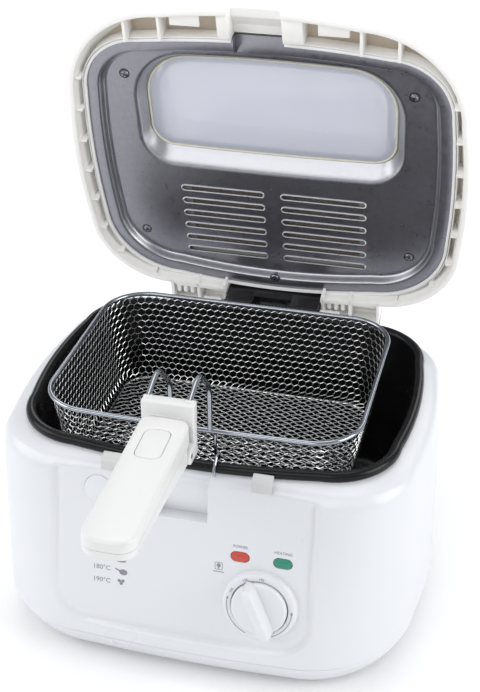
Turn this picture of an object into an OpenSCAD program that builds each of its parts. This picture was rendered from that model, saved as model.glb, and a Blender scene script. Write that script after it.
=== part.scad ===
// Household deep fryer with a fixed pot, a lowering basket and a hinged lid.
// Origin on the floor under the middle of the body, +Z up, front towards -Y.

/* [Body] */
// Half width of the body at the seam above the base pan, side bulge left out
body_half_w = 138.6; // [136:0.2:142]
// Height of the seam between base pan and housing
seam_z = 23.6; // [20:0.2:28]
// Height at which the housing ends and the deck ring begins
shell_top_z = 138; // [136:0.5:139]
// Outward bulge of the two sides
side_bulge = 4.5; // [2:0.5:6]
// Wall thickness of the plastic shells
wall = 2.6; // [2:0.1:3]
// Forward lean of the front, in mm outward per mm down
front_lean = 0.178; // [0.15:0.002:0.19]

/* [Pot] */
// Half width of the pot lip, side bulge left out
lip_half_w = 122.5; // [120:0.5:124]
// Underside of the rolled lip
lip_z = 145.9; // [145:0.1:147]
// Radius of the rolled lip
bead_r = 3.5; // [3:0.1:4]
// Underside of the pot floor
pot_floor_z = 36; // [34:0.5:38]
// How far the pot wall leans in from lip to floor
pot_taper = 9; // [6:0.5:12]

/* [Control panel] */
// Half width of the recessed panel
panel_half_w = 82; // [80:0.5:84]
// Lower edge of the recessed panel
panel_low_z = 32; // [30:0.5:36]
// Knob centre, across
knob_x = 49.5; // [45:0.5:52]
// Knob centre, height
knob_z = 65.5; // [62:0.5:70]
// Radius of the knob's disc
knob_r = 17.6; // [15:0.2:18]
// Radius of the raised dial ring
dial_r = 23.5; // [22:0.5:24]
// Height of the two signal lamps
lamp_z = 96; // [94:0.5:100]

/* [Lid] */
// Angle between the closed lid and the modelled open lid, in degrees
lid_open_angle = 75.76; // [60:0.01:80]
// Hinge axis, distance behind the origin
hinge_y = 118.7; // [117:0.1:120]
// Hinge axis, height
hinge_z = 136.7; // [135:0.1:138]
// Lower edge of the closed lid's rim
lid_rim_z = 148; // [147.5:0.1:149]
// Underside of the lid plate's flange with the lid closed
plate_z = 157; // [156:0.5:158]
// Depth of the plate's main field above its flange
plate_field_depth = 6.5; // [5:0.5:8]

/* [Basket] */
// Half width of the basket rim
basket_half_w = 100.4; // [96:0.2:101]
// Half depth of the basket rim
basket_half_d = 77.4; // [74:0.2:78]
// Height of the basket rim when raised
basket_rim_z = 168; // [166:0.5:170]
// Depth from the rim to the mesh floor
basket_depth = 62; // [56:1:66]
// Radius of the rim wire
rim_wire_r = 1.6; // [1.3:0.1:1.8]

/* [Handle] */
// Full width of the handle grip at its root
grip_w = 29; // [26:0.5:29]
// Rear end of the grip
grip_rear_y = -130; // [-131:0.5:-130]
// Front end of the grip
grip_front_y = -237; // [-240:1:-225]

/* [Hidden] */
$fn = 48;
arc_steps = 6;
edge_steps = 4;
over = 1;
white = "#e4e8ee";
ivory = "#d8d5d2";
steel = "#c4c8cd";
dark = "#17171a";
lean_angle = atan(front_lean);
hinge_pin_r = 3;
running_gap = 0.05;
notch_x = [-18.5, 13.4];
notch_floor_z = 115;
notch_back_y = -98.2;
catch_x = 47;
basket_x = -2;
basket_y = -5.5;
wire_x = [-14.2, 10.2];
bracket_x = [-17.3, 13.7];
grip_x = -1.8;
pivot_y = -134.5;
pivot_z = 184.5;
cheek_w = 3.4;

// ---- outlines: a rounded rectangle whose four sides may bulge ----
// An outline is [half width, front y, back y, front corner radius, back corner radius,
//                side bulge, front bulge, back bulge].
function corner_points(cx, cy, r, start) =
    [for (i = [0 : arc_steps]) let (w = start + 90 * i / arc_steps) [cx + r * cos(w), cy + r * sin(w)]];
function bulge_points(p, q, sag) =
    let (d = q - p, n = [d[1], -d[0]] / norm(d))
    [for (i = [1 : edge_steps - 1]) let (u = i / edge_steps) p + d * u + n * sag * 4 * u * (1 - u)];
function outline_points(o) =
    let (a = o[0], f = o[1], b = o[2], rf = o[3], rb = o[4])
    concat(corner_points(a - rf, f + rf, rf, -90), bulge_points([a, f + rf], [a, b - rb], o[5]),
        corner_points(a - rb, b - rb, rb, 0), bulge_points([a - rb, b], [rb - a, b], o[7]),
        corner_points(rb - a, b - rb, rb, 90), bulge_points([-a, b - rb], [-a, f + rf], o[5]),
        corner_points(rf - a, f + rf, rf, 180), bulge_points([rf - a, f], [a - rf, f], o[6]));
function inset(o, d) = [o[0] - d, o[1] + d, o[2] - d, max(o[3] - d, 1), max(o[4] - d, 1), o[5], o[6], o[7]];
function mix(p, q, t) = p + (q - p) * t;
function level(z, o) = [for (p = outline_points(o)) [p[0], p[1], z]];

// Solid skin through a list of levels; closed = true joins the last level to the first.
module skin(levels, closed = false) {
    n = len(levels[0]);
    m = len(levels);
    steps = closed ? m : m - 1;
    sides = [for (k = [0 : steps - 1]) for (i = [0 : n - 1])
        let (lo = k * n, hi = ((k + 1) % m) * n, j = (i + 1) % n)
        each [[lo + i, hi + i, hi + j], [lo + i, hi + j, lo + j]]];
    caps = closed ? [] : [[for (i = [0 : n - 1]) i], [for (i = [0 : n - 1]) m * n - 1 - i]];
    polyhedron(points = [for (l = levels) each l], faces = concat(sides, caps));
}

// A wire of radius r laid along an outline at height z.
module wire_loop(o, z, r, sides = 8) {
    skin([for (k = [0 : sides - 1]) let (w = 360 * k / sides) level(z + r * sin(w), inset(o, -r * cos(w)))],
        closed = true);
}

// A straight round bar from p to q.
module bar(p, q, r) {
    d = q - p;
    translate(p) rotate([0, acos(d[2] / norm(d)), atan2(d[1], d[0])]) cylinder(r = r, h = norm(d));
}

// A bent wire of radius r swept through points; across is a direction that no stretch runs along.
module bent_wire(points, r, across = [1, 0, 0], sides = 8) {
    last = len(points) - 1;
    function unit(v) = v / norm(v);
    function heading(i) = unit((i > 0 ? unit(points[i] - points[i - 1]) : [0, 0, 0])
        + (i < last ? unit(points[i + 1] - points[i]) : [0, 0, 0]));
    skin([for (i = [0 : last]) let (t = heading(i), u = unit(cross(t, across)), v = cross(t, u))
        [for (k = [0 : sides - 1]) let (w = 360 * k / sides) points[i] + r * (cos(w) * u + sin(w) * v)]]);
}

module box(lo, hi) { translate(lo) cube(hi - lo); }
module rounded_rect(w, h, r) { offset(r) square([w - 2 * r, h - 2 * r], center = true); }
// Exact rounded rectangle, for prisms that stay true surfaces.
module soft_rect(w, h, r) {
    square([w - 2 * r, h], center = true);
    square([w, h - 2 * r], center = true);
    for (x = [-1, 1], y = [-1, 1]) translate([x * (w / 2 - r), y * (h / 2 - r)]) circle(r);
}
// Prism over an outline between two heights.
module prism(o, z0, z1) { translate([0, 0, z0]) linear_extrude(z1 - z0) polygon(outline_points(o)); }

// ---- reference surfaces ----
seam_outline = [body_half_w, -124.0, 113.2, 71, 71, side_bulge, 2.2, 4];
middle_outline = [body_half_w - 1.6, -114.2, 108.1, 60, 59, side_bulge, 2.0, 4];
top_outline = [body_half_w - 4.6, -103.9, 101.5, 47, 47, side_bulge, 1.6, 4];
lip_outline = [lip_half_w, -90.6, 98, 44, 44, side_bulge, 7.15, 5.2];
basket_outline = [basket_half_w, -basket_half_d, basket_half_d, 29.5, 29.5, 0, 1.5, 0];
plate_outline = [124.7, -95, 103.7, 41, 52, 2.4, 5, 6];
lid_outline = [136.0, -122.3, 109.9, 71, 57, 3.2, 4.9, 4];
window_outline = [92.7, -82, 8.5, 36, 22, 0, 1.5, 1];
glass_outline = inset(window_outline, 5);
function panel_y(z) = -103 - (141 - z) * front_lean;

// Panel frame: x across, y up the panel, z out of it, at the height z on the panel.
module on_panel(x, z) { translate([x, panel_y(z), z]) rotate([90 - lean_angle, 0, 0]) children(); }
// Turns a lid part drawn closed into its open place.
module opened() {
    translate([0, hinge_y, hinge_z]) rotate([-lid_open_angle, 0, 0]) translate([0, -hinge_y, -hinge_z]) children();
}
module in_basket() { translate([basket_x, basket_y, 0]) children(); }
module along_x(x0, x1) { translate([x0, 0, 0]) rotate([90, 0, 90]) linear_extrude(x1 - x0) children(); }

// ---- housing ----
function body_outline(z) = z < 80
    ? mix(seam_outline, middle_outline, (z - seam_z) / (80 - seam_z))
    : mix(middle_outline, top_outline, (z - 80) / (shell_top_z - 80));

module panel_window(grow) {
    half = panel_half_w + grow;
    low = panel_low_z - grow;
    r = 23;
    translate([0, -90, 0]) rotate([90, 0, 0]) linear_extrude(60) {
        translate([-half, low + r]) square([2 * half, 150 - low - r]);
        translate([-half + r, low]) square([2 * (half - r), 2 * r]);
        for (s = [-1, 1]) translate([s * (half - r), low + r]) circle(r);
    }
}

module housing_shell() {
    inner = [shell_top_z, 110, 80, 50, seam_z];
    color(white) difference() {
        skin(concat([for (z = [seam_z, 50, 80, 110, shell_top_z]) level(z, body_outline(z))],
            [for (z = inner) level(z, inset(body_outline(z), wall))]), closed = true);
        panel_window(0);
        translate([-60, 105, 45]) rotate([-90, 0, 0]) cylinder(r = 7, h = 14);
    }
}

module deck_ring() {
    edge = body_outline(shell_top_z);
    color(white) difference() {
        skin([level(shell_top_z, edge), level(140.6, inset(edge, 0.6)), level(142.2, inset(edge, 2)),
            level(143, inset(edge, 4)), level(lip_z - 0.1, inset(lip_outline, 1.5)),
            level(lip_z - 2.4, inset(lip_outline, 1.5)), level(140.4, inset(edge, 4.6)),
            level(shell_top_z, inset(edge, wall))], closed = true);
        box([notch_x[0], -120, 120], [notch_x[1], -90, 150]);
        for (s = [-1, 1]) box([s * catch_x - 7, -101.6, 130], [s * catch_x + 7, -96.3, 160]);
    }
}

module control_panel() {
    t = 2;
    color(white) difference() {
        union() {
            intersection() {
                panel_window(-0.2);
                on_panel(0, 90) translate([-90, -70, -t]) cube([180, 130, t]);
                box([-90, -140, 20], [90, -90, shell_top_z - 0.3]);
            }
            // pocket behind the handle: back, floor and two cheeks
            box([notch_x[0] - 1.5, notch_back_y, notch_floor_z - 1.5], [notch_x[1] + 1.5, notch_back_y + 1, 141]);
            box([notch_x[0] + 0.1, notch_back_y, 140], [notch_x[1] - 0.1, notch_back_y + 1, 145.2]);
            box([notch_x[0] - 1.5, -106.5, notch_floor_z - 1.5], [notch_x[1] + 1.5, notch_back_y, notch_floor_z]);
            for (x = [notch_x[0] - 1.5, notch_x[1]])
                box([x, -102.5, notch_floor_z - 1.5], [x + 1.5, notch_back_y, 137.5]);
        }
        box([notch_x[0], -120, notch_floor_z], [notch_x[1], notch_back_y, 150]);
        on_panel(knob_x, knob_z) cylinder(r = 4, h = 20, center = true);
        for (x = [35.2, 62]) on_panel(x, lamp_z) linear_extrude(20, center = true) soft_rect(12.4, 7.4, 3.6);
        on_panel(-56, 127) cylinder(r = 9.8, h = 12, center = true);
    }
}

module dial_ring() {
    color(white) on_panel(knob_x, knob_z) rotate_extrude(convexity = 4)
        polygon([[knob_r + 0.6, 0], [dial_r, 0], [dial_r - 0.6, 2.6], [dial_r - 2, 3.4], [knob_r + 1.6, 3.4],
            [knob_r + 0.6, 2.4]]);
}

module base_pan() {
    color(white) skin([level(4.9, inset(seam_outline, 12.6)), level(8, inset(seam_outline, 9)),
        level(14, inset(seam_outline, 4.6)), level(seam_z, inset(seam_outline, 0.4)),
        level(seam_z, inset(seam_outline, 3)), level(14, inset(seam_outline, 7.4)), level(7.4, inset(seam_outline, 13))]);
}

module at_feet() { for (x = [-95, 95], y = [-85, 75]) translate([x, y, 0]) children(); }

module feet() {
    color(dark) at_feet() difference() {
        cylinder(r1 = 9.5, r2 = 11, h = 4.9);
        translate([0, 0, -over]) cylinder(r = 3.2, h = 2.6 + over);
        cylinder(r = 1.6, h = 10);
    }
    // bonded pad under the middle of the pan
    color(dark) cylinder(r1 = 9.5, r2 = 11, h = 4.9);
}

module base_screws() {
    color(steel) at_feet() {
        translate([0, 0, 1.4]) cylinder(r = 3, h = 1.2);
        translate([0, 0, 2.6]) cylinder(r = 1.6, h = 2.3);
    }
}

// ---- pot and heating ----
module pot() {
    bead_z = lip_z + bead_r - 0.9;
    function bead(w) = level(bead_z + bead_r * sin(w), inset(lip_outline, bead_r - bead_r * cos(w)));
    function pot_wall(z) = 2 * bead_r + pot_taper * (bead_z - z) / (bead_z - pot_floor_z);
    color(dark) skin(concat(
        [level(pot_floor_z, inset(lip_outline, 27)), level(pot_floor_z + 4, inset(lip_outline, pot_wall(40) + 2)),
            level(pot_floor_z + 12, inset(lip_outline, pot_wall(48) - 1.5)), level(lip_z, inset(lip_outline, 5.5))],
        [for (w = [-50 : 38.333 : 180]) bead(w)],
        [level(pot_floor_z + 14, inset(lip_outline, pot_wall(50))),
            level(pot_floor_z + 6, inset(lip_outline, pot_wall(42) + 3.5)),
            level(pot_floor_z + 2, inset(lip_outline, 28))]));
}

module heat_spreader() { color("#b9bcc0") translate([0, 4, pot_floor_z - 2.5]) cylinder(r = 62, h = 2.5); }

module heating_element() {
    tube_r = 3.4;
    color("#6c6a68") translate([0, 4, pot_floor_z - 2.5 - tube_r]) {
        rotate([0, 0, -75]) rotate_extrude(angle = 330) translate([46, 0]) circle(tube_r);
        for (w = [-75, 255]) rotate([0, 0, w]) translate([46, 0, -11]) cylinder(r = 1.6, h = 11);
    }
}

module element_clamp() {
    top = pot_floor_z - 2.5 - 6.8;
    color(steel) difference() {
        box([-72, -5, top - 1.5], [72, 13, top]);
        for (x = [-66, 66]) translate([x, 4, top - 3]) cylinder(r = 2.2, h = 6);
    }
}

module clamp_pillars() {
    color(ivory) for (x = [-66, 66]) translate([x, 4, 7.4]) difference() {
        cylinder(r = 6, h = pot_floor_z - 2.5 - 8.3 - 7.4);
        translate([0, 0, 5]) cylinder(r = 1.7, h = 20);
    }
}

module clamp_screws() {
    color(steel) for (x = [-66, 66]) translate([x, 4, 14]) {
        cylinder(r = 1.65, h = pot_floor_z - 9.3 - 14);
        translate([0, 0, pot_floor_z - 9.3 - 14]) cylinder(r = 3.6, h = 2.2);
    }
}

module thermostat() {
    color(ivory) on_panel(knob_x, knob_z) difference() {
        union() {
            translate([-15, -12, -24]) cube([30, 24, 18]);
            translate([0, 0, -6]) cylinder(r = 6, h = 3.9);
        }
        translate([0, 0, -14]) cylinder(r = 3 + running_gap, h = 20);
    }
}

module thermal_cutout() {
    color("#8a6a3a") translate([0, 24, pot_floor_z - 2.5 - 5]) cylinder(r = 8, h = 5);
}

module sensor_bulb() {
    z = pot_floor_z - 5;
    color("#b0713a") {
        bar([20, -70, z], [60, -70, z], 2.4);
        bent_wire([[60, -70, z], [72, -76, z], [74, -88, 56], [68, -97, 62]], 1, [0.6, 0.8, 0.3]);
    }
}

module terminal_block() {
    color(ivory) difference() {
        box([-78, 70, 7.4], [-42, 86, 19]);
        for (x = [-72, -60, -48]) translate([x, 78, 12]) cylinder(r = 2.6, h = 10);
    }
}

module mains_leads() {
    color("#7d2f2a") {
        bent_wire([[-50, 69.4, 13], [-50, 40, 12], [20, -40, 12], [42, -70, 20], [44, -91, 50]], 1.5, [0.9, 0.4, 0.1]);
        bent_wire([[-70, 69.4, 13], [-72, 30, 12], [-20, -30, 12], [12, -45, 16]], 1.5, [0.9, 0.4, 0.1]);
        bent_wire([[-60, 104, 45], [-60, 98, 42], [-60, 95, 16], [-60, 88.9, 13]], 2.8);
    }
}

module cord_inlet() {
    color(dark) translate([-60, 0, 45]) rotate([-90, 0, 0]) difference() {
        union() {
            translate([0, 0, 105]) cylinder(r = 6.9, h = 9);
            translate([0, 0, 113.4]) cylinder(r = 9.5, h = 3);
            translate([0, 0, 104]) cylinder(r = 8.6, h = 2.6);
        }
        translate([0, 0, 100]) cylinder(r = 3.6, h = 30);
    }
}

module lens(x) {
    on_panel(x, lamp_z) {
        translate([0, 0, -6]) linear_extrude(6.6) soft_rect(11, 6.2, 3);
    }
}
module lamp_red() { color("#cc3b28") lens(35.2); }
module lamp_green() { color("#009468") lens(62); }

module lamp_holders() {
    color(dark) for (x = [35.2, 62]) on_panel(x, lamp_z) difference() {
        translate([0, 0, -12]) linear_extrude(12) soft_rect(12.3, 7.3, 3.6);
        translate([0, 0, -6]) linear_extrude(10) soft_rect(11, 6.2, 3);
    }
}

module drain_hook() {
    color(steel) translate([16.5, 0, 0])
        bent_wire([[0, -86.6, 149.8], [0, -88.6, 154.4], [0, -93, 155.2], [0, -98.6, 151.6], [0, -100.2, 145.9]], 1);
}

// ---- hinge on the housing ----
module hinge_mounts() {
    color(white) for (s = [-1, 1]) along_x(s > 0 ? 37.5 : -51.5, s > 0 ? 51.5 : -37.5) difference() {
        union() {
            translate([hinge_y, hinge_z]) circle(7.6);
            polygon([[107.8, 112], [105.3, shell_top_z - 0.2], [hinge_y, hinge_z + 7.6], [hinge_y + 7.4, hinge_z - 2]]);
        }
        translate([hinge_y, hinge_z]) circle(hinge_pin_r);
    }
}
module hinge_shaft() {
    color(steel) translate([-51.5, hinge_y, hinge_z]) rotate([0, 90, 0]) cylinder(r = hinge_pin_r, h = 103);
}
module hinge_spring() {
    color(steel) translate([0, hinge_y, hinge_z]) rotate([0, 90, 0])
        for (i = [-4 : 4]) translate([0, 0, i * 2.6]) rotate_extrude() translate([4.9, 0]) circle(1.35, $fn = 16);
}

// ---- controls that move ----
module button_spring() {
    color(steel) on_panel(-56, 127) translate([0, 0, -7.2]) difference() {
        cylinder(r = 5, h = 1);
        translate([0, 0, -over]) cylinder(r = 3, h = 3);
    }
}

module knob() {
    color(white) on_panel(knob_x, knob_z) {
        rotate_extrude() polygon([[0, -13], [3, -13], [3, 0.4], [knob_r, 0.4], [knob_r, 5], [knob_r - 1.4, 6.2], [0, 6.2]]);
        rotate([0, 0, 24]) intersection() {
            translate([-4.6, -25, 4]) cube([9.2, 50, 13]);
            cylinder(r = 19.8, h = 30);
        }
    }
}

module release_button() {
    color(white) on_panel(-56, 127) rotate_extrude()
        polygon([[0, -8.2], [2.4, -8.2], [2.4, -2.6], [9.5, -2.6], [9.5, 0.2], [8.3, 1.1], [0, 1.1]]);
}

module latch_bar() {
    color(ivory) {
        box([-61, -97, 118], [53, -94.6, 132]);
        for (s = [-1, 1]) {
            post = s > 0 ? [41, 46.2] : [-46.2, -41];
            box([post[0], -100.9, 120], [post[1], -96, 132]);
            box([post[0], -100.9, 130], [post[1], -98, 148]);
            along_x(s * catch_x - 6.2, s * catch_x + 6.2)
                polygon([[-98, 147.2], [-98, 151.8], [-100, 152.2], [-105, 149.2], [-105, 147.2]]);
        }
    }
}

// ---- lid, drawn closed and turned open ----
rim_w = 3.4;
dome_levels = [[lid_rim_z, lid_outline],
    [lid_rim_z + 4, inset(lid_outline, 0.4)],
    [162, [134.4, -116.5, 109.2, 70, 57, 3.1, 4.8, 4]],
    [176, [128.8, -106, 104, 67, 56, 2.8, 4.5, 4]],
    [188, [116, -94, 84, 62, 55, 2.2, 4, 3]],
    [196, [98, -76, 58, 50, 45, 2, 3, 2]],
    [200, [74, -54, 32, 36, 36, 1.5, 2, 1]]];
cowl_x = [36.5, 80];

module dome_outside() { skin([for (l = dome_levels) level(l[0], l[1])]); }

module dome_body() {
    inner = [[196.8, inset(dome_levels[6][1], 2)], [193, inset(dome_levels[5][1], wall)],
        [185, inset(dome_levels[4][1], wall + 0.6)], [173, inset(dome_levels[3][1], wall + 1)],
        [162, inset(dome_levels[2][1], rim_w)], [lid_rim_z, inset(lid_outline, rim_w)]];
    skin(concat([for (l = inner) level(l[0], l[1])], [for (l = dome_levels) level(l[0], l[1])]));
}

module lid_ribs() {
    thin = 2;
    intersection() {
        prism(inset(lid_outline, 3), 151.5, 172);
        union() {
            for (s = [-1, 1], y = [-66, -40, -14, 12, 38, 64])
                box([s > 0 ? 112 : -140, y - thin / 2, 151], [s > 0 ? 140 : -112, y + thin / 2, 174]);
            for (x = [-88, -66, -34, -27, 29, 34, 66, 88]) box([x - thin / 2, -130, 151], [x + thin / 2, -90, 174]);
            for (x = [-90, 90]) box([x - thin / 2, 90, 151], [x + thin / 2, 125, 174]);
        }
    }
}

module hinge_cowl() {
    profile = [[104, lid_rim_z], [128, lid_rim_z], [131, lid_rim_z + 4], [129, 160], [118, 169], [104, 172]];
    for (s = [-1, 1]) {
        x0 = s > 0 ? cowl_x[0] : -cowl_x[1];
        difference() {
            along_x(x0, x0 + cowl_x[1] - cowl_x[0]) polygon(profile);
            for (k = [0, 1]) box([x0 + 2 + 21 * k, 112, lid_rim_z - over], [x0 + 20.5 + 21 * k, 126.6, 161]);
        }
    }
}

module lid_shell() {
    color(white) opened() difference() {
        union() {
            dome_body();
            lid_ribs();
            hinge_cowl();
            // catch tabs that the two latch hooks come up behind
            for (s = [-1, 1]) box([s * 48.5 - 10, -122, 152.6], [s * 48.5 + 10, -110, 154.2]);
        }
        prism(inset(plate_outline, -2.2), lid_rim_z - over, 172);
        // notch for the basket handle, seat for the hinge arm, window and steam outlet
        box([-19.5, -135, lid_rim_z - over], [15.5, -108, 160.5]);
        box([-36, 102.8, lid_rim_z - over], [36, 135, 165.4]);
        translate([0, 0, 170]) linear_extrude(40) polygon(outline_points(inset(glass_outline, 6)));
        for (i = [0 : 5]) translate([0, 34 + 9 * i, 170]) linear_extrude(40) soft_rect(90 - 4 * i, 3.6, 1.7);
    }
}

module lid_plate() {
    t = 1;
    field = inset(plate_outline, 9.5);
    zf = plate_z + plate_field_depth;
    pane_z = zf + 9;
    color("#9b9ca4") opened() difference() {
        union() {
            skin([level(plate_z, plate_outline), level(plate_z + t, plate_outline),
                level(plate_z + t, inset(plate_outline, 7.8)), level(zf + t, field), level(zf + t, inset(window_outline, -1)),
                level(pane_z, inset(glass_outline, -1)), level(pane_z, inset(glass_outline, 1)),
                level(zf, window_outline), level(zf, inset(field, 1)), level(plate_z, inset(plate_outline, 8.6))], closed = true);
            // roof of the channel that the handle wires pass through
            along_x(-19.5, 15.5) polygon([[-85.5, plate_z], [-86, plate_z + t], [-101.5, 168.6], [-102.4, 167.6]]);
            for (x = [-19.5, 14.5]) along_x(x, x + t) polygon([[-86, plate_z], [-101.5, 168.6], [-102.4, plate_z]]);
        }
        along_x(-18.5, 14.5) polygon([[-84, plate_z - 1], [-86.6, plate_z], [-103.6, 168.2], [-103.6, plate_z - 1]]);
        for (x = [-98.8, 98.8], y = [-64.3, 71.5]) translate([x, y, 150]) cylinder(r = 2.1, h = 30);
        for (s = [-1, 1], i = [0 : 5]) box([s * 36.7 - 30, 27.2 + 11.4 * i, 150], [s * 36.7 + 30, 29.4 + 11.4 * i, 170]);
    }
}

module lid_seal() {
    color("#f2f2ee") opened() difference() {
        prism(inset(plate_outline, -1.8), plate_z - 2.4, plate_z + 2.4);
        prism(inset(plate_outline, -0.05), plate_z - over, plate_z + 4);
        prism(inset(plate_outline, 1), plate_z - 4, plate_z);
        box([-19.6, -110, 150], [15.6, -80, 170]);
    }
}

module window_glass() {
    z = plate_z + plate_field_depth + 9;
    color("#cdd4de", 0.5) opened() prism(inset(glass_outline, -1), z, z + 3);
}

module window_gasket() {
    z = plate_z + plate_field_depth + 9;
    color("#e8e4cc") opened() difference() {
        prism(inset(glass_outline, -3), z, z + 4.5);
        prism(inset(glass_outline, -1), z - over, z + 3);
        prism(inset(glass_outline, 4), z - over, z + 6);
    }
}

module window_frame() {
    z = plate_z + plate_field_depth + 13.5;
    color(white) opened() intersection() {
        dome_outside();
        difference() {
            prism(inset(glass_outline, 6.05), z, 200);
            prism(inset(glass_outline, 8.4), z - over, 201);
        }
    }
}

module filter_pad() { color("#5c5f63") opened() translate([0, 57, 169.9]) linear_extrude(6.5) soft_rect(132, 66, 8); }

module filter_frame() {
    color(ivory) opened() difference() {
        translate([0, 57, 168]) linear_extrude(9) soft_rect(138, 72, 10);
        translate([0, 57, 169.9]) linear_extrude(12) soft_rect(132.2, 66.2, 8);
        translate([0, 57, 160]) linear_extrude(20) soft_rect(124, 58, 6);
    }
}

module plate_screws() {
    z = plate_z + plate_field_depth;
    color(steel) opened() for (x = [-98.8, 98.8], y = [-64.3, 71.5]) translate([x, y, z]) {
        translate([0, 0, -1.4]) cylinder(r1 = 3.4, r2 = 3.8, h = 1.4);
        cylinder(r = 2, h = 6);
    }
}

module hinge_arm() {
    color(dark) opened() difference() {
        along_x(-35.5, 35.5) difference() {
            union() {
                translate([hinge_y, hinge_z]) circle(8);
                polygon([[112.3, 139], [112.3, 159.5], [103.2, 159.5], [103.2, 165], [121, 165], [129.5, 157], [129.5, 150],
                    [126.6, 137]]);
                translate([128.4, 150.6]) circle(2.6);
            }
            translate([hinge_y, hinge_z]) circle(hinge_pin_r + running_gap);
        }
        box([-14, hinge_y - 10, hinge_z - 9], [14, hinge_y + 12, hinge_z + 9]);
    }
}

// ---- basket, drawn raised ----
module basket_rim() { color(steel) in_basket() wire_loop(basket_outline, basket_rim_z, rim_wire_r); }

module basket_mesh() {
    t = 0.6;
    low = basket_rim_z - basket_depth;
    top = basket_rim_z - rim_wire_r;
    color("#9fa3a8") in_basket() skin([level(low, inset(basket_outline, 16)), level(low + 3, inset(basket_outline, 9)),
        level(top, inset(basket_outline, 0.4)), level(top, inset(basket_outline, 0.4 + t)),
        level(low + 3.3, inset(basket_outline, 9 + t)), level(low + t, inset(basket_outline, 16.5))]);
}

module basket_base_wire() {
    color(steel) in_basket() wire_loop(inset(basket_outline, 12), basket_rim_z - basket_depth - 1.1, 1.1, 6);
}

module basket_catch() {
    color(steel) bent_wire([[13.6, -84.8, basket_rim_z - 1.8], [13.6, -84.8, 152], [13.6, -82.6, 149]], 1);
}

module handle_wires() {
    color(steel) for (x = wire_x) {
        bent_wire([[x, -84.4, basket_rim_z + 1.4], [x, -84.4, 197], [x, -87, 202], [x, -102, 217], [x, -107, 219],
            [x, -113, 218.4], [x, -126, 213]], 1.6);
    }
}

module handle_bracket() {
    color(ivory) difference() {
        union() {
            box([bracket_x[0], -129.6, 199], [bracket_x[1], -121.6, 214]);
            box([bracket_x[0] + 1.5, -127.6, 178], [bracket_x[1] - 1.5, -122.4, 199]);
            for (x = [bracket_x[0], bracket_x[1] - cheek_w]) {
                translate([x, pivot_y, pivot_z]) rotate([0, 90, 0]) cylinder(r = 5.2, h = cheek_w);
                box([x, pivot_y, pivot_z - 5.2], [x + cheek_w, -122.4, pivot_z + 5.2]);
            }
            for (x = wire_x) translate([x, -124.4, 213]) rotate([-20, 0, 0]) cylinder(r = 2.9, h = 3.4);
        }
        for (x = wire_x) bar([x, -113, 218.4], [x, -126, 213], 1.6);
        translate([-30, pivot_y, pivot_z]) rotate([0, 90, 0]) cylinder(r = 1.5, h = 60);
    }
}

module handle_pin() {
    color(steel) translate([bracket_x[0], pivot_y, pivot_z]) rotate([0, 90, 0])
        cylinder(r = 1.5, h = bracket_x[1] - bracket_x[0]);
}

// Plan of the grip: a tongue between the bracket's cheeks, then a slow taper to a front end with rounded corners.
module grip_plan() {
    end_half = (grip_w - 2) / 2;
    end_r = 7;
    tongue = (bracket_x[1] - bracket_x[0] - 2 * cheek_w - 0.6) / 2;
    shoulder_y = -140;
    side = [[tongue, grip_rear_y], [tongue, shoulder_y], [grip_w / 2, shoulder_y]];
    corner = [for (i = [0 : 8]) let (w = 90 * i / 8) [end_half - end_r + end_r * cos(w), grip_front_y + end_r - end_r * sin(w)]];
    half = concat(side, corner);
    translate([grip_x, 0]) polygon(concat(half, [for (i = [len(half) - 1 : -1 : 0]) [-half[i][0], half[i][1]]]));
}
module grip_upper_side() { polygon([[-130, 193], [-130, 205], [-132, 206], [-232, 201.2], [-237, 199], [-237, 194.5]]); }
module grip_lower_side() {
    translate([pivot_y, pivot_z]) circle(4.4);
    polygon([[-134.5, 180.1], [-130.1, 184.5], [-130.1, 192.9], [-237, 194.4], [-237, 190.2], [-233, 188.6], [-180, 185]]);
}

module handle_upper() {
    color(white) difference() {
        intersection() {
            linear_extrude(260) grip_plan();
            along_x(-40, 40) grip_upper_side();
        }
        translate([grip_x, -156, 195]) linear_extrude(20) soft_rect(15.4, 26.4, 4);
        box([grip_x - 10, -222, 190], [grip_x + 10, -172, 197.5]);
    }
}

module handle_lower() {
    color(white) difference() {
        intersection() {
            linear_extrude(260) grip_plan();
            along_x(-40, 40) grip_lower_side();
        }
        translate([-30, pivot_y, pivot_z]) rotate([0, 90, 0]) cylinder(r = 1.5 + running_gap, h = 60);
    }
}

module handle_button() {
    color(white) intersection() {
        translate([grip_x, -156, 198]) linear_extrude(12) soft_rect(14.6, 25.6, 3.7);
        along_x(-20, 20) polygon([[-140, 190], [-140, 205.8], [-152, 206.6], [-172, 205.4], [-172, 190]]);
    }
}

module handle_button_spring() {
    color(steel) translate([grip_x, -156, 195.4]) rotate_extrude() translate([4, 0]) circle(0.4, $fn = 16);
}

housing_shell();
deck_ring();
control_panel();
dial_ring();
base_pan();
feet();
base_screws();
pot();
heat_spreader();
heating_element();
element_clamp();
clamp_pillars();
clamp_screws();
thermostat();
thermal_cutout();
sensor_bulb();
terminal_block();
mains_leads();
cord_inlet();
lamp_red();
lamp_green();
lamp_holders();
drain_hook();
hinge_mounts();
hinge_shaft();
hinge_spring();
button_spring();
knob();
release_button();
latch_bar();
lid_shell();
lid_plate();
lid_seal();
window_glass();
window_gasket();
window_frame();
filter_pad();
filter_frame();
plate_screws();
hinge_arm();
basket_rim();
basket_mesh();
basket_base_wire();
basket_catch();
handle_wires();
handle_bracket();
handle_pin();
handle_upper();
handle_lower();
handle_button();
handle_button_spring();
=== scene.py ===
"""Looks of a household deep fryer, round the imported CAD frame. Lengths are in mm until a mesh is made."""
import math

import bmesh
import bpy
import numpy as np
from mathutils import Matrix, Vector


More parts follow.
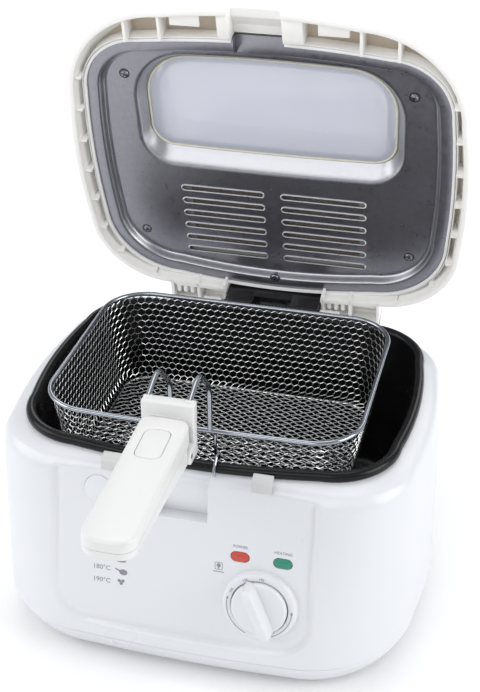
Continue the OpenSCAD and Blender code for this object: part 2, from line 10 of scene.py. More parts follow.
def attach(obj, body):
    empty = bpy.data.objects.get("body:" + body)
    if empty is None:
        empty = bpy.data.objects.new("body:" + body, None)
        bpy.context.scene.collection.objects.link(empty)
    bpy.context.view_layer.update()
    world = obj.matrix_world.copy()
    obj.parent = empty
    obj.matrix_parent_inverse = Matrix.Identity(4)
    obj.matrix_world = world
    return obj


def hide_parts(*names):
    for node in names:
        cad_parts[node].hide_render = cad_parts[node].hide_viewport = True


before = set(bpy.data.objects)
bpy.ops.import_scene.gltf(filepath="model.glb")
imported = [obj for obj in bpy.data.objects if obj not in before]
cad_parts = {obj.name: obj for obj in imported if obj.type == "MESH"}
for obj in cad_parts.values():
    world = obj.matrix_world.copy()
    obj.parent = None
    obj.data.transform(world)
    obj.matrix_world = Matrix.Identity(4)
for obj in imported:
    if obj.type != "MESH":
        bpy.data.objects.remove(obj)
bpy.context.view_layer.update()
MM = 0.001

# ---- driving places, the same as the frame's ----
PANEL_Y, PANEL_TOP, PANEL_DEPTH, LEAN = -103.0, 141.0, 0.9, 0.178
LEAN_ANGLE = math.atan(LEAN)
HINGE_Y, HINGE_Z, OPEN_ANGLE = 118.7, 136.7, 75.76
BASKET_X, BASKET_Y, RIM_Z, MESH_FLOOR_Z = -2.0, -5.5, 168.0, 106.3
KNOB_X, KNOB_Z, KNOB_R, DIAL_R = 49.5, 65.5, 17.6, 23.5
NOTCH_X, NOTCH_FLOOR, NOTCH_BACK = (-18.5, 13.4), 115.0, -98.4
LAMP_XS, LAMP_Z = (35.2, 62.0), 96.0
BUTTON_X, BUTTON_Z = -56.0, 127.0
HOOK_X, STEM_X, STEM_WIDTH = 47.0, (-46.2, 41.0), 5.2
GRIP_X, GRIP_REAR, GRIP_FRONT, GRIP_BUTTON_Y = -1.8, -130.0, -237.0, -156.0
END_R, REAR_R = 9.5, 6.0
PIVOT_Y, PIVOT_Z = -134.5, 184.5
WIRE_X = (-14.2, 10.2)
BRACKET_X = (-17.3, 13.7)
PLATE_Z, FIELD_Z, PANE_Z = 157.0, 163.5, 172.5
LID_RIM_Z = 148.0
CHANNEL_X = (-19.5, 15.5)
LOUVRE_X, LOUVRE_Y, LOUVRE_PITCH, LOUVRES = 36.7, 28.6, 11.4, 6
RIB_HALF, SKIRT_D = 1.0, -2.6

# An outline is [half width, front y, back y, front and back corner radius, side, front and back bulge].
SEAM = np.array([138.6, -124.0, 113.2, 71, 71, 4.5, 2.2, 4])
MIDDLE = np.array([137.0, -114.2, 108.1, 60, 59, 4.5, 2.0, 4])
TOP = np.array([134.0, -103.9, 101.5, 47, 47, 4.5, 1.6, 4])
LIP = np.array([122.5, -90.6, 98, 44, 44, 4.5, 7.15, 5.2])
BASKET = np.array([100.4, -77.4, 77.4, 29.5, 29.5, 0, 1.5, 0])
PLATE = np.array([124.7, -95, 103.7, 41, 52, 2.4, 5, 6])
LID = np.array([135.9, -122.3, 109.9, 71, 57, 3.2, 4.9, 4])
WINDOW = np.array([92.7, -82.5, 8.6, 38, 24, 0, 1.5, 1])
GLASS = np.array([87.4, -76.8, -1.6, 33, 17, 0, 1.5, 1])


def inset(o, d):
    """An outline moved inwards by d."""
    return np.array([o[0] - d, o[1] + d, o[2] - d, max(o[3] - d, 1), max(o[4] - d, 1), o[5], o[6], o[7]])


def panel_y(z):
    """Where the leaning control panel stands at a height."""
    return PANEL_Y - (PANEL_TOP - z) * LEAN


def smoothstep(t):
    t = np.clip(t, 0, 1)
    return t * t * (3 - 2 * t)


# ---- outlines ----
def arc(cx, cy, r, start, sweep, n):
    w = np.radians(start + sweep * np.linspace(0, 1, n + 1))
    return np.column_stack([cx + r * np.cos(w), cy + r * np.sin(w)])


def bulge(p, q, sag, n):
    p, q = np.array(p, float), np.array(q, float)
    d = q - p
    normal = np.array([d[1], -d[0]]) / np.linalg.norm(d)
    u = np.linspace(0, 1, n + 1)[:, None]
    return p + d * u + normal * sag * 4 * u * (1 - u)


def outline(o, corner=12, side=14):
    """The points of an outline, anticlockwise from the front right corner."""
    a, f, b, rf, rb, sx, sf, sb = o
    parts = [
        arc(a - rf, f + rf, rf, -90, 90, corner), bulge((a, f + rf), (a, b - rb), sx, side),
        arc(a - rb, b - rb, rb, 0, 90, corner), bulge((a - rb, b), (rb - a, b), sb, side),
        arc(rb - a, b - rb, rb, 90, 90, corner), bulge((-a, b - rb), (-a, f + rf), sx, side),
        arc(rf - a, f + rf, rf, 180, 90, corner), bulge((rf - a, f), (a - rf, f), sf, side),
    ]
    return np.vstack([p[:-1] for p in parts])


def level(z, points):
    return np.column_stack([points, np.full(len(points), z)])


def resample(points, n, closed=False):
    pts = np.vstack([points, points[:1]]) if closed else points
    s = np.concatenate([[0], np.cumsum(np.linalg.norm(np.diff(pts, axis=0), axis=1))])
    t = np.linspace(0, s[-1], n + 1)
    out = np.column_stack([np.interp(t, s, pts[:, k]) for k in range(pts.shape[1])])
    return out[:-1] if closed else out


# ---- mesh building ----
class Build:
    """Collects the faces of one piece; each add() may carry a place and a material number."""

    def __init__(self, place=None):
        self.points, self.faces, self.marks = [], [], []
        self.count, self.place = 0, place

    def add(self, points, faces, mark=0, place=None):
        points = np.asarray(points, float)
        for m in (place, self.place):
            if m is not None:
                m = np.array(m)
                points = points @ m[:3, :3].T + m[:3, 3]
        self.points.append(points)
        self.faces += [tuple(i + self.count for i in f) for f in faces]
        self.marks += [mark] * len(faces)
        self.count += len(points)

    def skin(self, levels, closed=False, mark=0, place=None, caps=True):
        m, n = len(levels), len(levels[0])
        faces = []
        for k in range(m if closed else m - 1):
            lo, hi = k * n, ((k + 1) % m) * n
            faces += [(lo + i, lo + (i + 1) % n, hi + (i + 1) % n, hi + i) for i in range(n)]
        if not closed and caps:
            faces += [tuple(range(n - 1, -1, -1)), tuple((m - 1) * n + i for i in range(n))]
        self.add(np.vstack(levels), faces, mark, place)

    def tube(self, path, r, sides=10, closed=False, mark=0, place=None):
        path = np.asarray(path, float)
        n = len(path)
        if closed:
            heads = np.roll(path, -1, 0) - np.roll(path, 1, 0)
        else:
            heads = np.gradient(path, axis=0)
        heads /= np.linalg.norm(heads, axis=1)[:, None]
        ref = np.array([1.0, 0, 0]) if abs(heads[0][0]) < 0.8 else np.array([0, 0, 1.0])
        rings = []
        w = 2 * math.pi * np.arange(sides) / sides
        for p, t in zip(path, heads):
            u = ref - t * (ref @ t)
            u /= np.linalg.norm(u)
            ref = u
            v = np.cross(t, u)
            rings.append(p + r * (np.cos(w)[:, None] * u + np.sin(w)[:, None] * v))
        self.skin(rings, closed=closed, mark=mark, place=place)

    def bm(self, bm, mark=0, place=None):
        bm.verts.ensure_lookup_table()
        bm.verts.index_update()
        faces = [tuple(v.index for v in f.verts) for f in bm.faces]
        self.add([tuple(v.co) for v in bm.verts], faces, mark, place)
        bm.free()

    def box(self, lo, hi, r=0.6, mark=0, place=None, segments=2):
        bm = bmesh.new()
        bmesh.ops.create_cube(bm, size=1)
        lo, hi = Vector(lo), Vector(hi)
        for v in bm.verts:
            v.co = Vector([(lo[k] + hi[k]) / 2 + v.co[k] * (hi[k] - lo[k]) for k in range(3)])
        if r:
            bmesh.ops.bevel(bm, geom=bm.edges[:], offset=r, segments=segments, profile=0.5, affect="EDGES")
        self.bm(bm, mark, place)

    def prism(self, poly, z0, z1, r=0.6, mark=0, place=None, segments=2):
        """A polygon in XY drawn up from z0 to z1, its edges rounded by r."""
        bm = bmesh.new()
        verts = [bm.verts.new((p[0], p[1], z0)) for p in poly]
        face = bm.faces.new(verts)
        up = bmesh.ops.extrude_face_region(bm, geom=[face])["geom"]
        for v in [g for g in up if isinstance(g, bmesh.types.BMVert)]:
            v.co.z = z1
        bmesh.ops.recalc_face_normals(bm, faces=bm.faces[:])
        if r:
            edges = [e for e in bm.edges if e.is_manifold and e.calc_face_angle() > 0.6]
            bmesh.ops.bevel(bm, geom=edges, offset=r, segments=segments, profile=0.5, affect="EDGES")
        self.bm(bm, mark, place)

    def turned(self, profile, sides=48, mark=0, place=None):
        """A closed profile of (radius, height) points turned round the Z axis; radius 0 ends close it."""
        w = 2 * math.pi * np.arange(sides) / sides
        circle = np.column_stack([np.cos(w), np.sin(w)])
        self.skin([level(z, max(r, 1e-3) * circle) for r, z in profile], mark=mark, place=place)

    def make(self, name, body, materials, slot, replaced=(), sharp=35):
        me = bpy.data.meshes.new(name)
        me.from_pydata(np.vstack(self.points) * MM, [], self.faces)
        me.validate()
        me.polygons.foreach_set("material_index", self.marks[: len(me.polygons)])
        me.shade_smooth()
        me.set_sharp_from_angle(angle=math.radians(sharp))
        for m in materials if isinstance(materials, (list, tuple)) else [materials]:
            me.materials.append(m)
        ob = bpy.data.objects.new(name, me)
        bpy.context.collection.objects.link(ob)
        if body:
            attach(ob, body)
        if replaced:
            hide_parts(*replaced)
        return ob


def cut(ob, cutter, sharp=35):
    """Takes the cutter's shape out of ob, then drops the cutter."""
    tool = cutter.make("cutter", None, [], None)
    mod = ob.modifiers.new("cut", "BOOLEAN")
    mod.operation, mod.solver, mod.object = "DIFFERENCE", "EXACT", tool
    mod.use_self = True
    deps = bpy.context.evaluated_depsgraph_get()
    me = bpy.data.meshes.new_from_object(ob.evaluated_get(deps))
    ob.modifiers.clear()
    old, ob.data = ob.data, me
    bpy.data.meshes.remove(old)
    me.shade_smooth()
    me.set_sharp_from_angle(angle=math.radians(sharp))
    bpy.data.objects.remove(tool)


def on_panel(x, z, drop=0.0):
    """A place on the control panel, its Z axis pointing out, moved in by drop."""
    turn = Matrix.Rotation(math.pi / 2 - LEAN_ANGLE, 4, "X")
    return Matrix.Translation((x, panel_y(z), z)) @ turn @ Matrix.Translation((0, 0, -drop))


OPENED = (Matrix.Translation((0, HINGE_Y, HINGE_Z)) @ Matrix.Rotation(math.radians(-OPEN_ANGLE), 4, "X")
          @ Matrix.Translation((0, -HINGE_Y, -HINGE_Z)))
# turns a drawing in (y, z) with its thickness along X, and one in (x, z) with its thickness along Y
ALONG_X = Matrix(((0, 0, 1, 0), (1, 0, 0, 0), (0, 1, 0, 0), (0, 0, 0, 1)))
ALONG_Y = Matrix(((1, 0, 0, 0), (0, 0, 1, 0), (0, 1, 0, 0), (0, 0, 0, 1)))


def rounded_path(points, r, n=6):
    """Points joined by straight stretches whose corners are rounded with about radius r."""
    pts = [np.array(p, float) for p in points]
    out = [pts[0]]
    for a, b, c in zip(pts, pts[1:], pts[2:]):
        ab, cb = a - b, c - b
        cutback = min(r, 0.45 * np.linalg.norm(ab), 0.45 * np.linalg.norm(cb))
        p = b + ab / np.linalg.norm(ab) * cutback
        q = b + cb / np.linalg.norm(cb) * cutback
        out += [(1 - t) ** 2 * p + 2 * t * (1 - t) * b + t * t * q for t in np.linspace(0, 1, n)]
    return np.array(out + [pts[-1]])


# ---- materials ----
def material(name, color, rough, metallic=0.0, tint=0.03, scale=120.0, bump=0.02, coat=0.0, alpha=1.0,
             rough_spread=0.08, stretch=None, ior=1.5):
    """A principled material whose colour, roughness and surface vary a little with noise."""
    mat = bpy.data.materials.new(name)
    mat.use_nodes = True
    nodes, links = mat.node_tree.nodes, mat.node_tree.links
    shader = nodes["Principled BSDF"]
    shader.inputs["Metallic"].default_value = metallic
    shader.inputs["IOR"].default_value = ior
    shader.inputs["Coat Weight"].default_value = coat
    shader.inputs["Coat Roughness"].default_value = 0.08
    shader.inputs["Alpha"].default_value = alpha
    place = nodes.new("ShaderNodeTexCoord")
    noise = nodes.new("ShaderNodeTexNoise")
    noise.inputs["Scale"].default_value = scale
    noise.inputs["Detail"].default_value = 6
    source = place.outputs["Object"]
    if stretch:
        mapping = nodes.new("ShaderNodeMapping")
        mapping.inputs["Scale"].default_value = stretch
        links.new(source, mapping.inputs["Vector"])
        source = mapping.outputs["Vector"]
    links.new(source, noise.inputs["Vector"])
    ramp = nodes.new("ShaderNodeValToRGB")
    dark = [c * (1 - tint) for c in color]
    light = [min(c * (1 + tint), 1) for c in color]
    ramp.color_ramp.elements[0].color = (*dark, 1)
    ramp.color_ramp.elements[1].color = (*light, 1)
    ramp.color_ramp.elements[0].position = 0.3
    ramp.color_ramp.elements[1].position = 0.7
    links.new(noise.outputs["Fac"], ramp.inputs["Fac"])
    links.new(ramp.outputs["Color"], shader.inputs["Base Color"])
    spread = nodes.new("ShaderNodeMapRange")
    spread.inputs["To Min"].default_value = max(rough - rough_spread, 0.02)
    spread.inputs["To Max"].default_value = min(rough + rough_spread, 1)
    links.new(noise.outputs["Fac"], spread.inputs["Value"])
    links.new(spread.outputs["Result"], shader.inputs["Roughness"])
    if bump:
        fine = nodes.new("ShaderNodeTexNoise")
        fine.inputs["Scale"].default_value = scale * 8
        fine.inputs["Detail"].default_value = 3
        links.new(source, fine.inputs["Vector"])
        bumps = nodes.new("ShaderNodeBump")
        bumps.inputs["Strength"].default_value = bump
        bumps.inputs["Distance"].default_value = 0.0004
        links.new(fine.outputs["Fac"], bumps.inputs["Height"])
        links.new(bumps.outputs["Normal"], shader.inputs["Normal"])
    return mat


WHITE = material("white_plastic", (0.715, 0.725, 0.75), 0.30, tint=0.006, scale=14, bump=0.02, coat=0.15)
HANDLE_WHITE = material("handle_plastic", (0.74, 0.735, 0.725), 0.34, tint=0.006, scale=20, bump=0.02,
                        coat=0.1)
# warm white of the lid plastic, also used on the hinge knuckles and window frame; its brightness is raised as
# painted light against the shade the lid lies in
LID_WHITE_PAINTED_LIGHT = material("lid_plastic_painted_light", (0.93, 0.915, 0.885), 0.34, tint=0.006, scale=16, bump=0.02, coat=0.1)
# dark beige of the lid's pocket floors: painted shade of the deep pockets between the ribs
POCKET_SHADE = material("lid_pocket_painted_shade", (0.52, 0.44, 0.35), 0.5, tint=0.03, scale=40, bump=0.05)
CATCH = material("catch_plastic", (0.58, 0.575, 0.57), 0.4, tint=0.01, scale=40, bump=0.04)
IVORY = material("inner_plastic", (0.62, 0.60, 0.56), 0.5, tint=0.03, scale=60, bump=0.1)
POT_BLACK = material("pot_coating", (0.006, 0.006, 0.0065), 0.25, tint=0.15, scale=90, bump=0.02, ior=1.33)
BLACK = material("black_plastic", (0.012, 0.012, 0.013), 0.24, tint=0.1, scale=60, bump=0.04, coat=0.2)
RUBBER = material("foot_rubber", (0.02, 0.02, 0.02), 0.75, tint=0.15, scale=150, bump=0.25)
CHROME = material("chrome_wire", (0.36, 0.38, 0.41), 0.14, metallic=1.0, tint=0.05, scale=260, bump=0.03)
MESH_WIRE = material("mesh_wire", (0.50, 0.50, 0.50), 0.26, metallic=1.0, tint=0.12, scale=400, bump=0.05)
PLATE_METAL = material("lid_plate_paint", (0.30, 0.295, 0.33), 0.30, metallic=0.9, tint=0.05, scale=260,
                       bump=0.006)
# lighter copy of the plate metal for the pressed walls: painted highlight for the light they reflect
WALL_SHEEN_METAL = material("lid_plate_walls_painted_highlight", (0.45, 0.45, 0.475), 0.32, metallic=0.9, tint=0.04, scale=260,
                      bump=0.006)
SCREW_METAL = material("screw_metal", (0.26, 0.26, 0.28), 0.3, metallic=1.0, tint=0.1, scale=300, bump=0.1)
SPREADER = material("rolled_aluminium", (0.6, 0.6, 0.62), 0.35, metallic=1.0, tint=0.06, scale=60, bump=0.1,
                    stretch=(1, 14, 1))
ELEMENT = material("heated_steel", (0.16, 0.14, 0.13), 0.5, metallic=0.8, tint=0.25, scale=120, bump=0.2)
BAKELITE = material("phenolic", (0.12, 0.06, 0.03), 0.45, tint=0.2, scale=90, bump=0.1)
COPPER = material("copper", (0.5, 0.24, 0.12), 0.3, metallic=1.0, tint=0.15, scale=140, bump=0.05)
LEADS = material("silicone_lead", (0.35, 0.06, 0.05), 0.6, tint=0.1, scale=200, bump=0.1)
SEAL = material("seal_silicone", (0.88, 0.88, 0.87), 0.45, tint=0.01, scale=80, bump=0.04)
GASKET = material("gasket_silicone", (0.74, 0.71, 0.58), 0.5, tint=0.04, scale=120, bump=0.06)
FLEECE = material("filter_fleece", (0.36, 0.31, 0.27), 0.95, tint=0.4, scale=700, bump=0.9)
GLASS_MAT = material("window_pane", (0.68, 0.70, 0.80), 0.06, tint=0.02, scale=8, bump=0, alpha=0.62,
                     rough_spread=0.02)
# light metal of the louvre lips: painted highlight on the pressed edges of the dark plate
LOUVRE_LIP_SHEEN = material("louvre_lip_painted_highlight", (0.72, 0.72, 0.74), 0.3, metallic=0.9, tint=0.05, scale=300, bump=0.02)
PRINT = material("dial_print", (0.25, 0.26, 0.28), 0.5, tint=0.08, scale=300, bump=0)


def lens_material(name, color):
    mat = material(name, color, 0.18, tint=0.12, scale=500, bump=0.1, coat=0.6)
    shader = mat.node_tree.nodes["Principled BSDF"]
    shader.inputs["Emission Color"].default_value = (*color, 1)
    shader.inputs["Emission Strength"].default_value = 0.12
    return mat


RED = lens_material("red_lens", (0.46, 0.035, 0.015))
GREEN = lens_material("green_lens", (0.0, 0.19, 0.11))


# ---- housing ----
SEAM_Z, MIDDLE_Z, TOP_Z = 23.6, 80.0, 138.0
WALL_EDGE = 0.25
NOTCH_XS = [NOTCH_X[0] - WALL_EDGE, NOTCH_X[0], NOTCH_X[1], NOTCH_X[1] + WALL_EDGE]
FRONT_XS = sorted(set(list(np.linspace(-66, 66, 83)) + NOTCH_XS))


def body_outline(z):
    """The body's outline at a height, straight between three drawn ones."""
    if z < MIDDLE_Z:
        return SEAM + (MIDDLE - SEAM) * (z - SEAM_Z) / (MIDDLE_Z - SEAM_Z)
    return MIDDLE + (TOP - MIDDLE) * (z - MIDDLE_Z) / (TOP_Z - MIDDLE_Z)


def body_columns(o):
    """The outline with the same columns of x in front at every height, so the pocket's walls stay upright."""
    a, f, b, rf, rb, sx, sf, sb = o
    half = a - rf
    last = FRONT_XS[-1]

    def front_y(x):
        return f - sf * (1 - (x / half) ** 2)

    front = np.array([(x, front_y(x)) for x in FRONT_XS])
    rest = np.array([(x, front_y(x)) for x in np.linspace(last, half, 8)])
    corner = np.vstack([rest[:-1], arc(half, f + rf, rf, -90, 90, 40)])
    corner = resample(corner, 64)[1:]
    side = bulge((a, f + rf), (a, b - rb), sx, 16)[1:]
    rear = arc(a - rb, b - rb, rb, 0, 90, 16)[1:]
    back = bulge((a - rb, b), (rb - a, b), sb, 24)[1:13]
    right = np.vstack([corner, side, rear, back])
    left = right[:-1][::-1] * np.array([-1, 1])
    return np.vstack([front, right, left])


def recess(points):
    """Sinks the control panel and, within it, the pocket for the basket handle."""
    x, y, z = points.T
    centre, half, low, r = -2.2, 84.0, 32.0, 23.0
    in_front = y < -60
    qx, qz = np.abs(x - centre) - (half - r), (low + r) - z
    outside = np.hypot(np.maximum(qx, 0), np.maximum(qz, 0)) + np.minimum(np.maximum(qx, qz), 0) - r
    weight = smoothstep((-outside + 0.6) / 3.4) * in_front
    target = panel_y(z) + PANEL_DEPTH
    y = y + weight * np.maximum(target - y, 0)
    groove = np.exp(-((outside + 2.2) / 2.0) ** 2)
    y = y + groove * (y < -60) * (z < 137)
    pocket = (x >= NOTCH_X[0] - 1e-6) & (x <= NOTCH_X[1] + 1e-6)
    pocket = pocket & (z > NOTCH_FLOOR + 0.1) & (y < NOTCH_BACK)
    return np.column_stack([x, np.where(pocket, NOTCH_BACK, y), z])


def housing():
    b = Build()
    zs = sorted(set(list(np.linspace(24.2, 132, 78)) + [NOTCH_FLOOR, NOTCH_FLOOR + WALL_EDGE]))
    levels = [level(23.7, body_columns(inset(body_outline(24), 0.8)))]
    levels += [level(z, body_columns(body_outline(z))) for z in zs]
    top = body_columns(body_outline(132))
    lip = body_columns(inset(LIP, 1.4))
    reach = np.linalg.norm(lip - top, axis=1)
    forward = smoothstep(-(top[:, 1] + 70) / 30)
    # rounding of the shoulder, (depth in mm, height) in front and at the sides and back
    for front_in, side_in, z in [(0.4, 0.2, 134.5), (1.0, 0.45, 136.6), (1.9, 0.9, 138.4), (3.0, 1.6, 140),
                                 (4.2, 2.5, 141.3), (5.2, 3.6, 142.3), (6.0, 4.9, 143.1)]:
        share = np.minimum((front_in * forward + side_in * (1 - forward)) / reach, 0.82)[:, None]
        levels.append(level(z, top + (lip - top) * share))
    for share, z in [(0.3, 144.2), (0.7, 145.2), (1, 145.8)]:
        levels.append(level(z, levels[-1][:, :2] + (lip - levels[-1][:, :2]) * share))
    levels.append(level(143.4, lip))
    inner = [level(z, body_columns(inset(body_outline(z), 4.6))) for z in (139, 132)]
    inner += [level(z, body_columns(inset(body_outline(z), 12.5))) for z in (112, 60, 24)]
    b.skin([recess(l) for l in levels] + inner, closed=True)
    replaced = ("housing_shell", "deck_ring", "control_panel")
    ob = b.make("housing_body", "housing", WHITE, "housing", replaced, 40)
    tool = Build()
    for x0 in STEM_X:
        tool.box((x0 - 0.3, -101.2, 130), (x0 + STEM_WIDTH + 0.3, -96.3, 160), 0.2)
    tool.add(*cylinder_points(9.6, -6, 6), place=on_panel(BUTTON_X, BUTTON_Z))
    for x in LAMP_XS:
        tool.prism(soft_rect(12.2, 7.3, 3.6), -5, 5, 0, place=on_panel(x, LAMP_Z))
    tool.add(*cylinder_points(4.2, -9, 4), place=on_panel(KNOB_X, KNOB_Z))
    cut(ob, tool, 40)


def cylinder_points(r, z0, z1, sides=48):
    w = 2 * math.pi * np.arange(sides) / sides
    ring = np.column_stack([r * np.cos(w), r * np.sin(w)])
    faces = [(i, (i + 1) % sides, sides + (i + 1) % sides, sides + i) for i in range(sides)]
    faces += [tuple(range(sides - 1, -1, -1)), tuple(range(sides, 2 * sides))]
    return np.vstack([level(z0, ring), level(z1, ring)]), faces


def soft_rect(w, h, r, n=6):
    o = [w / 2, -h / 2, h / 2, r, r, 0, 0, 0]
    return outline(o, n, 1)


def base():
    b = Build()
    steps = [(12.6, 4.9), (11.2, 5.3), (9.6, 7), (6.8, 10.5), (4.2, 15), (1.9, 19.5), (0.7, 22.6),
             (0.8, 23.1), (1.8, 23.5), (4, 23.5), (9, 14), (14, 7.6)]
    b.skin([level(z, outline(inset(SEAM, d), 20, 20)) for d, z in steps])
    b.make("base_pan_shell", "housing", WHITE, "housing", ("base_pan",))


def pot():
    b = Build()
    bead_r, bead_z, floor = 3.5, 148.5, 36.0

    def wall(z):
        return 2 * bead_r + 9 * (bead_z - z) / (bead_z - floor)

    rings = [(27, floor), (wall(38) + 4, floor + 2), (wall(46) - 1.2, floor + 12), (5.5, 145.4)]
    for w in np.radians(np.linspace(-55, 180, 20)):
        rings.append((bead_r - bead_r * math.cos(w), bead_z + bead_r * math.sin(w)))
    rings += [(wall(z), z) for z in (140, 120, 100, 80, 62, 50)]
    rings += [(wall(46) + 0.8, 45.5), (wall(42) + 3, 42), (wall(40) + 6.5, 39.4)]
    rings += [(wall(38) + 11, 38.2), (40, 38)]
    b.skin([level(z, outline(inset(LIP, d), 16, 18)) for d, z in rings])
    b.make("fixed_pot", "housing", POT_BLACK, "pot", ("pot",))


def controls():
    b = Build()
    place = on_panel(KNOB_X, KNOB_Z)
    ring = [(KNOB_R + 0.5, -2), (DIAL_R + 0.4, -2), (DIAL_R + 0.4, -0.2), (DIAL_R, 1.4), (DIAL_R - 0.5, 2.7),
            (DIAL_R - 1.4, 3.4), (DIAL_R - 2.4, 3.6), (KNOB_R + 1.6, 3.6), (KNOB_R + 0.9, 3.3),
            (KNOB_R + 0.5, 2.4)]
    w = 2 * math.pi * np.arange(96) / 96
    circle = np.column_stack([np.cos(w), np.sin(w)])
    b.skin([level(z, r * circle) for r, z in ring], closed=True, place=place)
    b.make("raised_dial_ring", "housing", WHITE, "housing", ("dial_ring",))

    b = Build()
    disc = [(0, -12), (2.9, -12), (2.9, 0.5), (KNOB_R, 0.5), (KNOB_R, 4.4), (KNOB_R - 0.25, 5.2),
            (KNOB_R - 0.9, 5.9), (KNOB_R - 1.9, 6.2), (0, 6.3)]
    b.turned(disc, 96, place=place)
    # the bar grip: sections across its length, full in the middle and rounded at both ends
    rows = []
    for t in np.linspace(-1, 1, 25):
        full = math.sqrt(max(1 - abs(t) ** 5, 0.0004))
        half, high = 4.5 * full, 4 + 12.6 * full ** 0.5
        edge = half * 0.78
        right = [(half, 4), (half * 0.97, high * 0.6), (edge, high - 1.2), (edge * 0.8, high - 0.3),
                 (half * 0.3, high)]
        section = [(-half, 4)] + right + [(-x, z) for x, z in right[:0:-1]]
        rows.append([(x, 19.6 * t, z) for x, z in section])
    turn = Matrix.Rotation(math.radians(24), 4, "Z")
    b.skin([np.array(r)[::-1] for r in rows], place=place @ turn)
    b.make("thermostat_knob", "knob", WHITE, "housing", ("knob",))

    for name, x, mat, color in zip(("power_lens", "heating_lens"), LAMP_XS, (RED, GREEN), ("red", "green")):
        b = Build()
        b.prism(soft_rect(11.6, 6.8, 3.3), -6, 0.1, 0.6, place=on_panel(x, LAMP_Z, 0.7), segments=3)
        b.prism(soft_rect(4.4, 2.2, 0.9), 0, 0.35, 0.15, place=on_panel(x, LAMP_Z, 0.7))
        b.make(name, "housing", mat, color + "_lens", ("lamp_" + color,))
    b = Build()
    outer, inner = soft_rect(12.1, 7.2, 3.5), soft_rect(11.7, 6.9, 3.4)
    bezel = [(-11.8, outer), (-1.75, outer), (-1.65, outer * 0.99), (-1.75, inner), (-11.8, inner)]
    for x in LAMP_XS:
        b.skin([level(z, o) for z, o in bezel], closed=True, place=on_panel(x, LAMP_Z))
    b.make("lamp_bezels", "housing", BLACK, "black_plastic", ("lamp_holders",))

    b = Build()
    cap = [(0, -8.1), (2.3, -8.1), (2.3, -2.6), (9.4, -2.6), (9.4, -0.6), (9.1, -0.1), (8.4, 0.2), (0, 0.75)]
    b.turned(cap, 64, place=on_panel(BUTTON_X, BUTTON_Z))
    b.make("lid_release_button", "release_button", WHITE, "housing", ("release_button",))

    b = Build()
    b.box((-61, -97, 118), (53, -94.6, 132), 0.4)
    hook = [(-98, 147.2), (-98, 151.6), (-98.8, 152.1), (-100, 152.1), (-104.2, 150), (-105.2, 148.8),
            (-105.6, 142.6), (-103.9, 142.4), (-102.6, 147.2)]
    for x0, middle in zip(STEM_X, (-HOOK_X, HOOK_X)):
        b.box((x0, -100.9, 120), (x0 + STEM_WIDTH, -96.2, 132), 0.3)
        b.box((x0, -100.9, 130), (x0 + STEM_WIDTH, -98.2, 148), 0.3)
        b.prism(hook, middle - 6.2, middle + 6.2, 0.35, place=ALONG_X)
    b.make("latch_hooks", "latch", CATCH, "catch", ("latch_bar",))


def flat_strip(b, path, width, place, thick=0.12):
    """A thin printed line along a path in the panel's plane."""
    path = np.asarray(path, float)
    heads = np.gradient(path, axis=0)
    heads /= np.linalg.norm(heads, axis=1)[:, None]
    side = np.column_stack([-heads[:, 1], heads[:, 0]]) * width / 2
    left, right = path + side, path - side
    rings = [np.array([(*l, 0), (*r, 0), (*r, thick), (*l, thick)]) for l, r in zip(left, right)]
    b.skin([r[::-1] for r in rings], place=place)


def add_words(b, words, size, place):
    """Flat letters in Blender's own font, centred on the place."""
    curve = bpy.data.curves.new("words", "FONT")
    curve.body, curve.size = words, size
    curve.align_x, curve.align_y = "CENTER", "CENTER"
    curve.extrude = 0.06
    ob = bpy.data.objects.new("words", curve)
    bpy.context.collection.objects.link(ob)
    deps = bpy.context.evaluated_depsgraph_get()
    me = bpy.data.meshes.new_from_object(ob.evaluated_get(deps))
    bpy.data.objects.remove(ob)
    b.add([tuple(v.co) for v in me.vertices], [tuple(p.vertices) for p in me.polygons], place=place)
    bpy.data.meshes.remove(me)


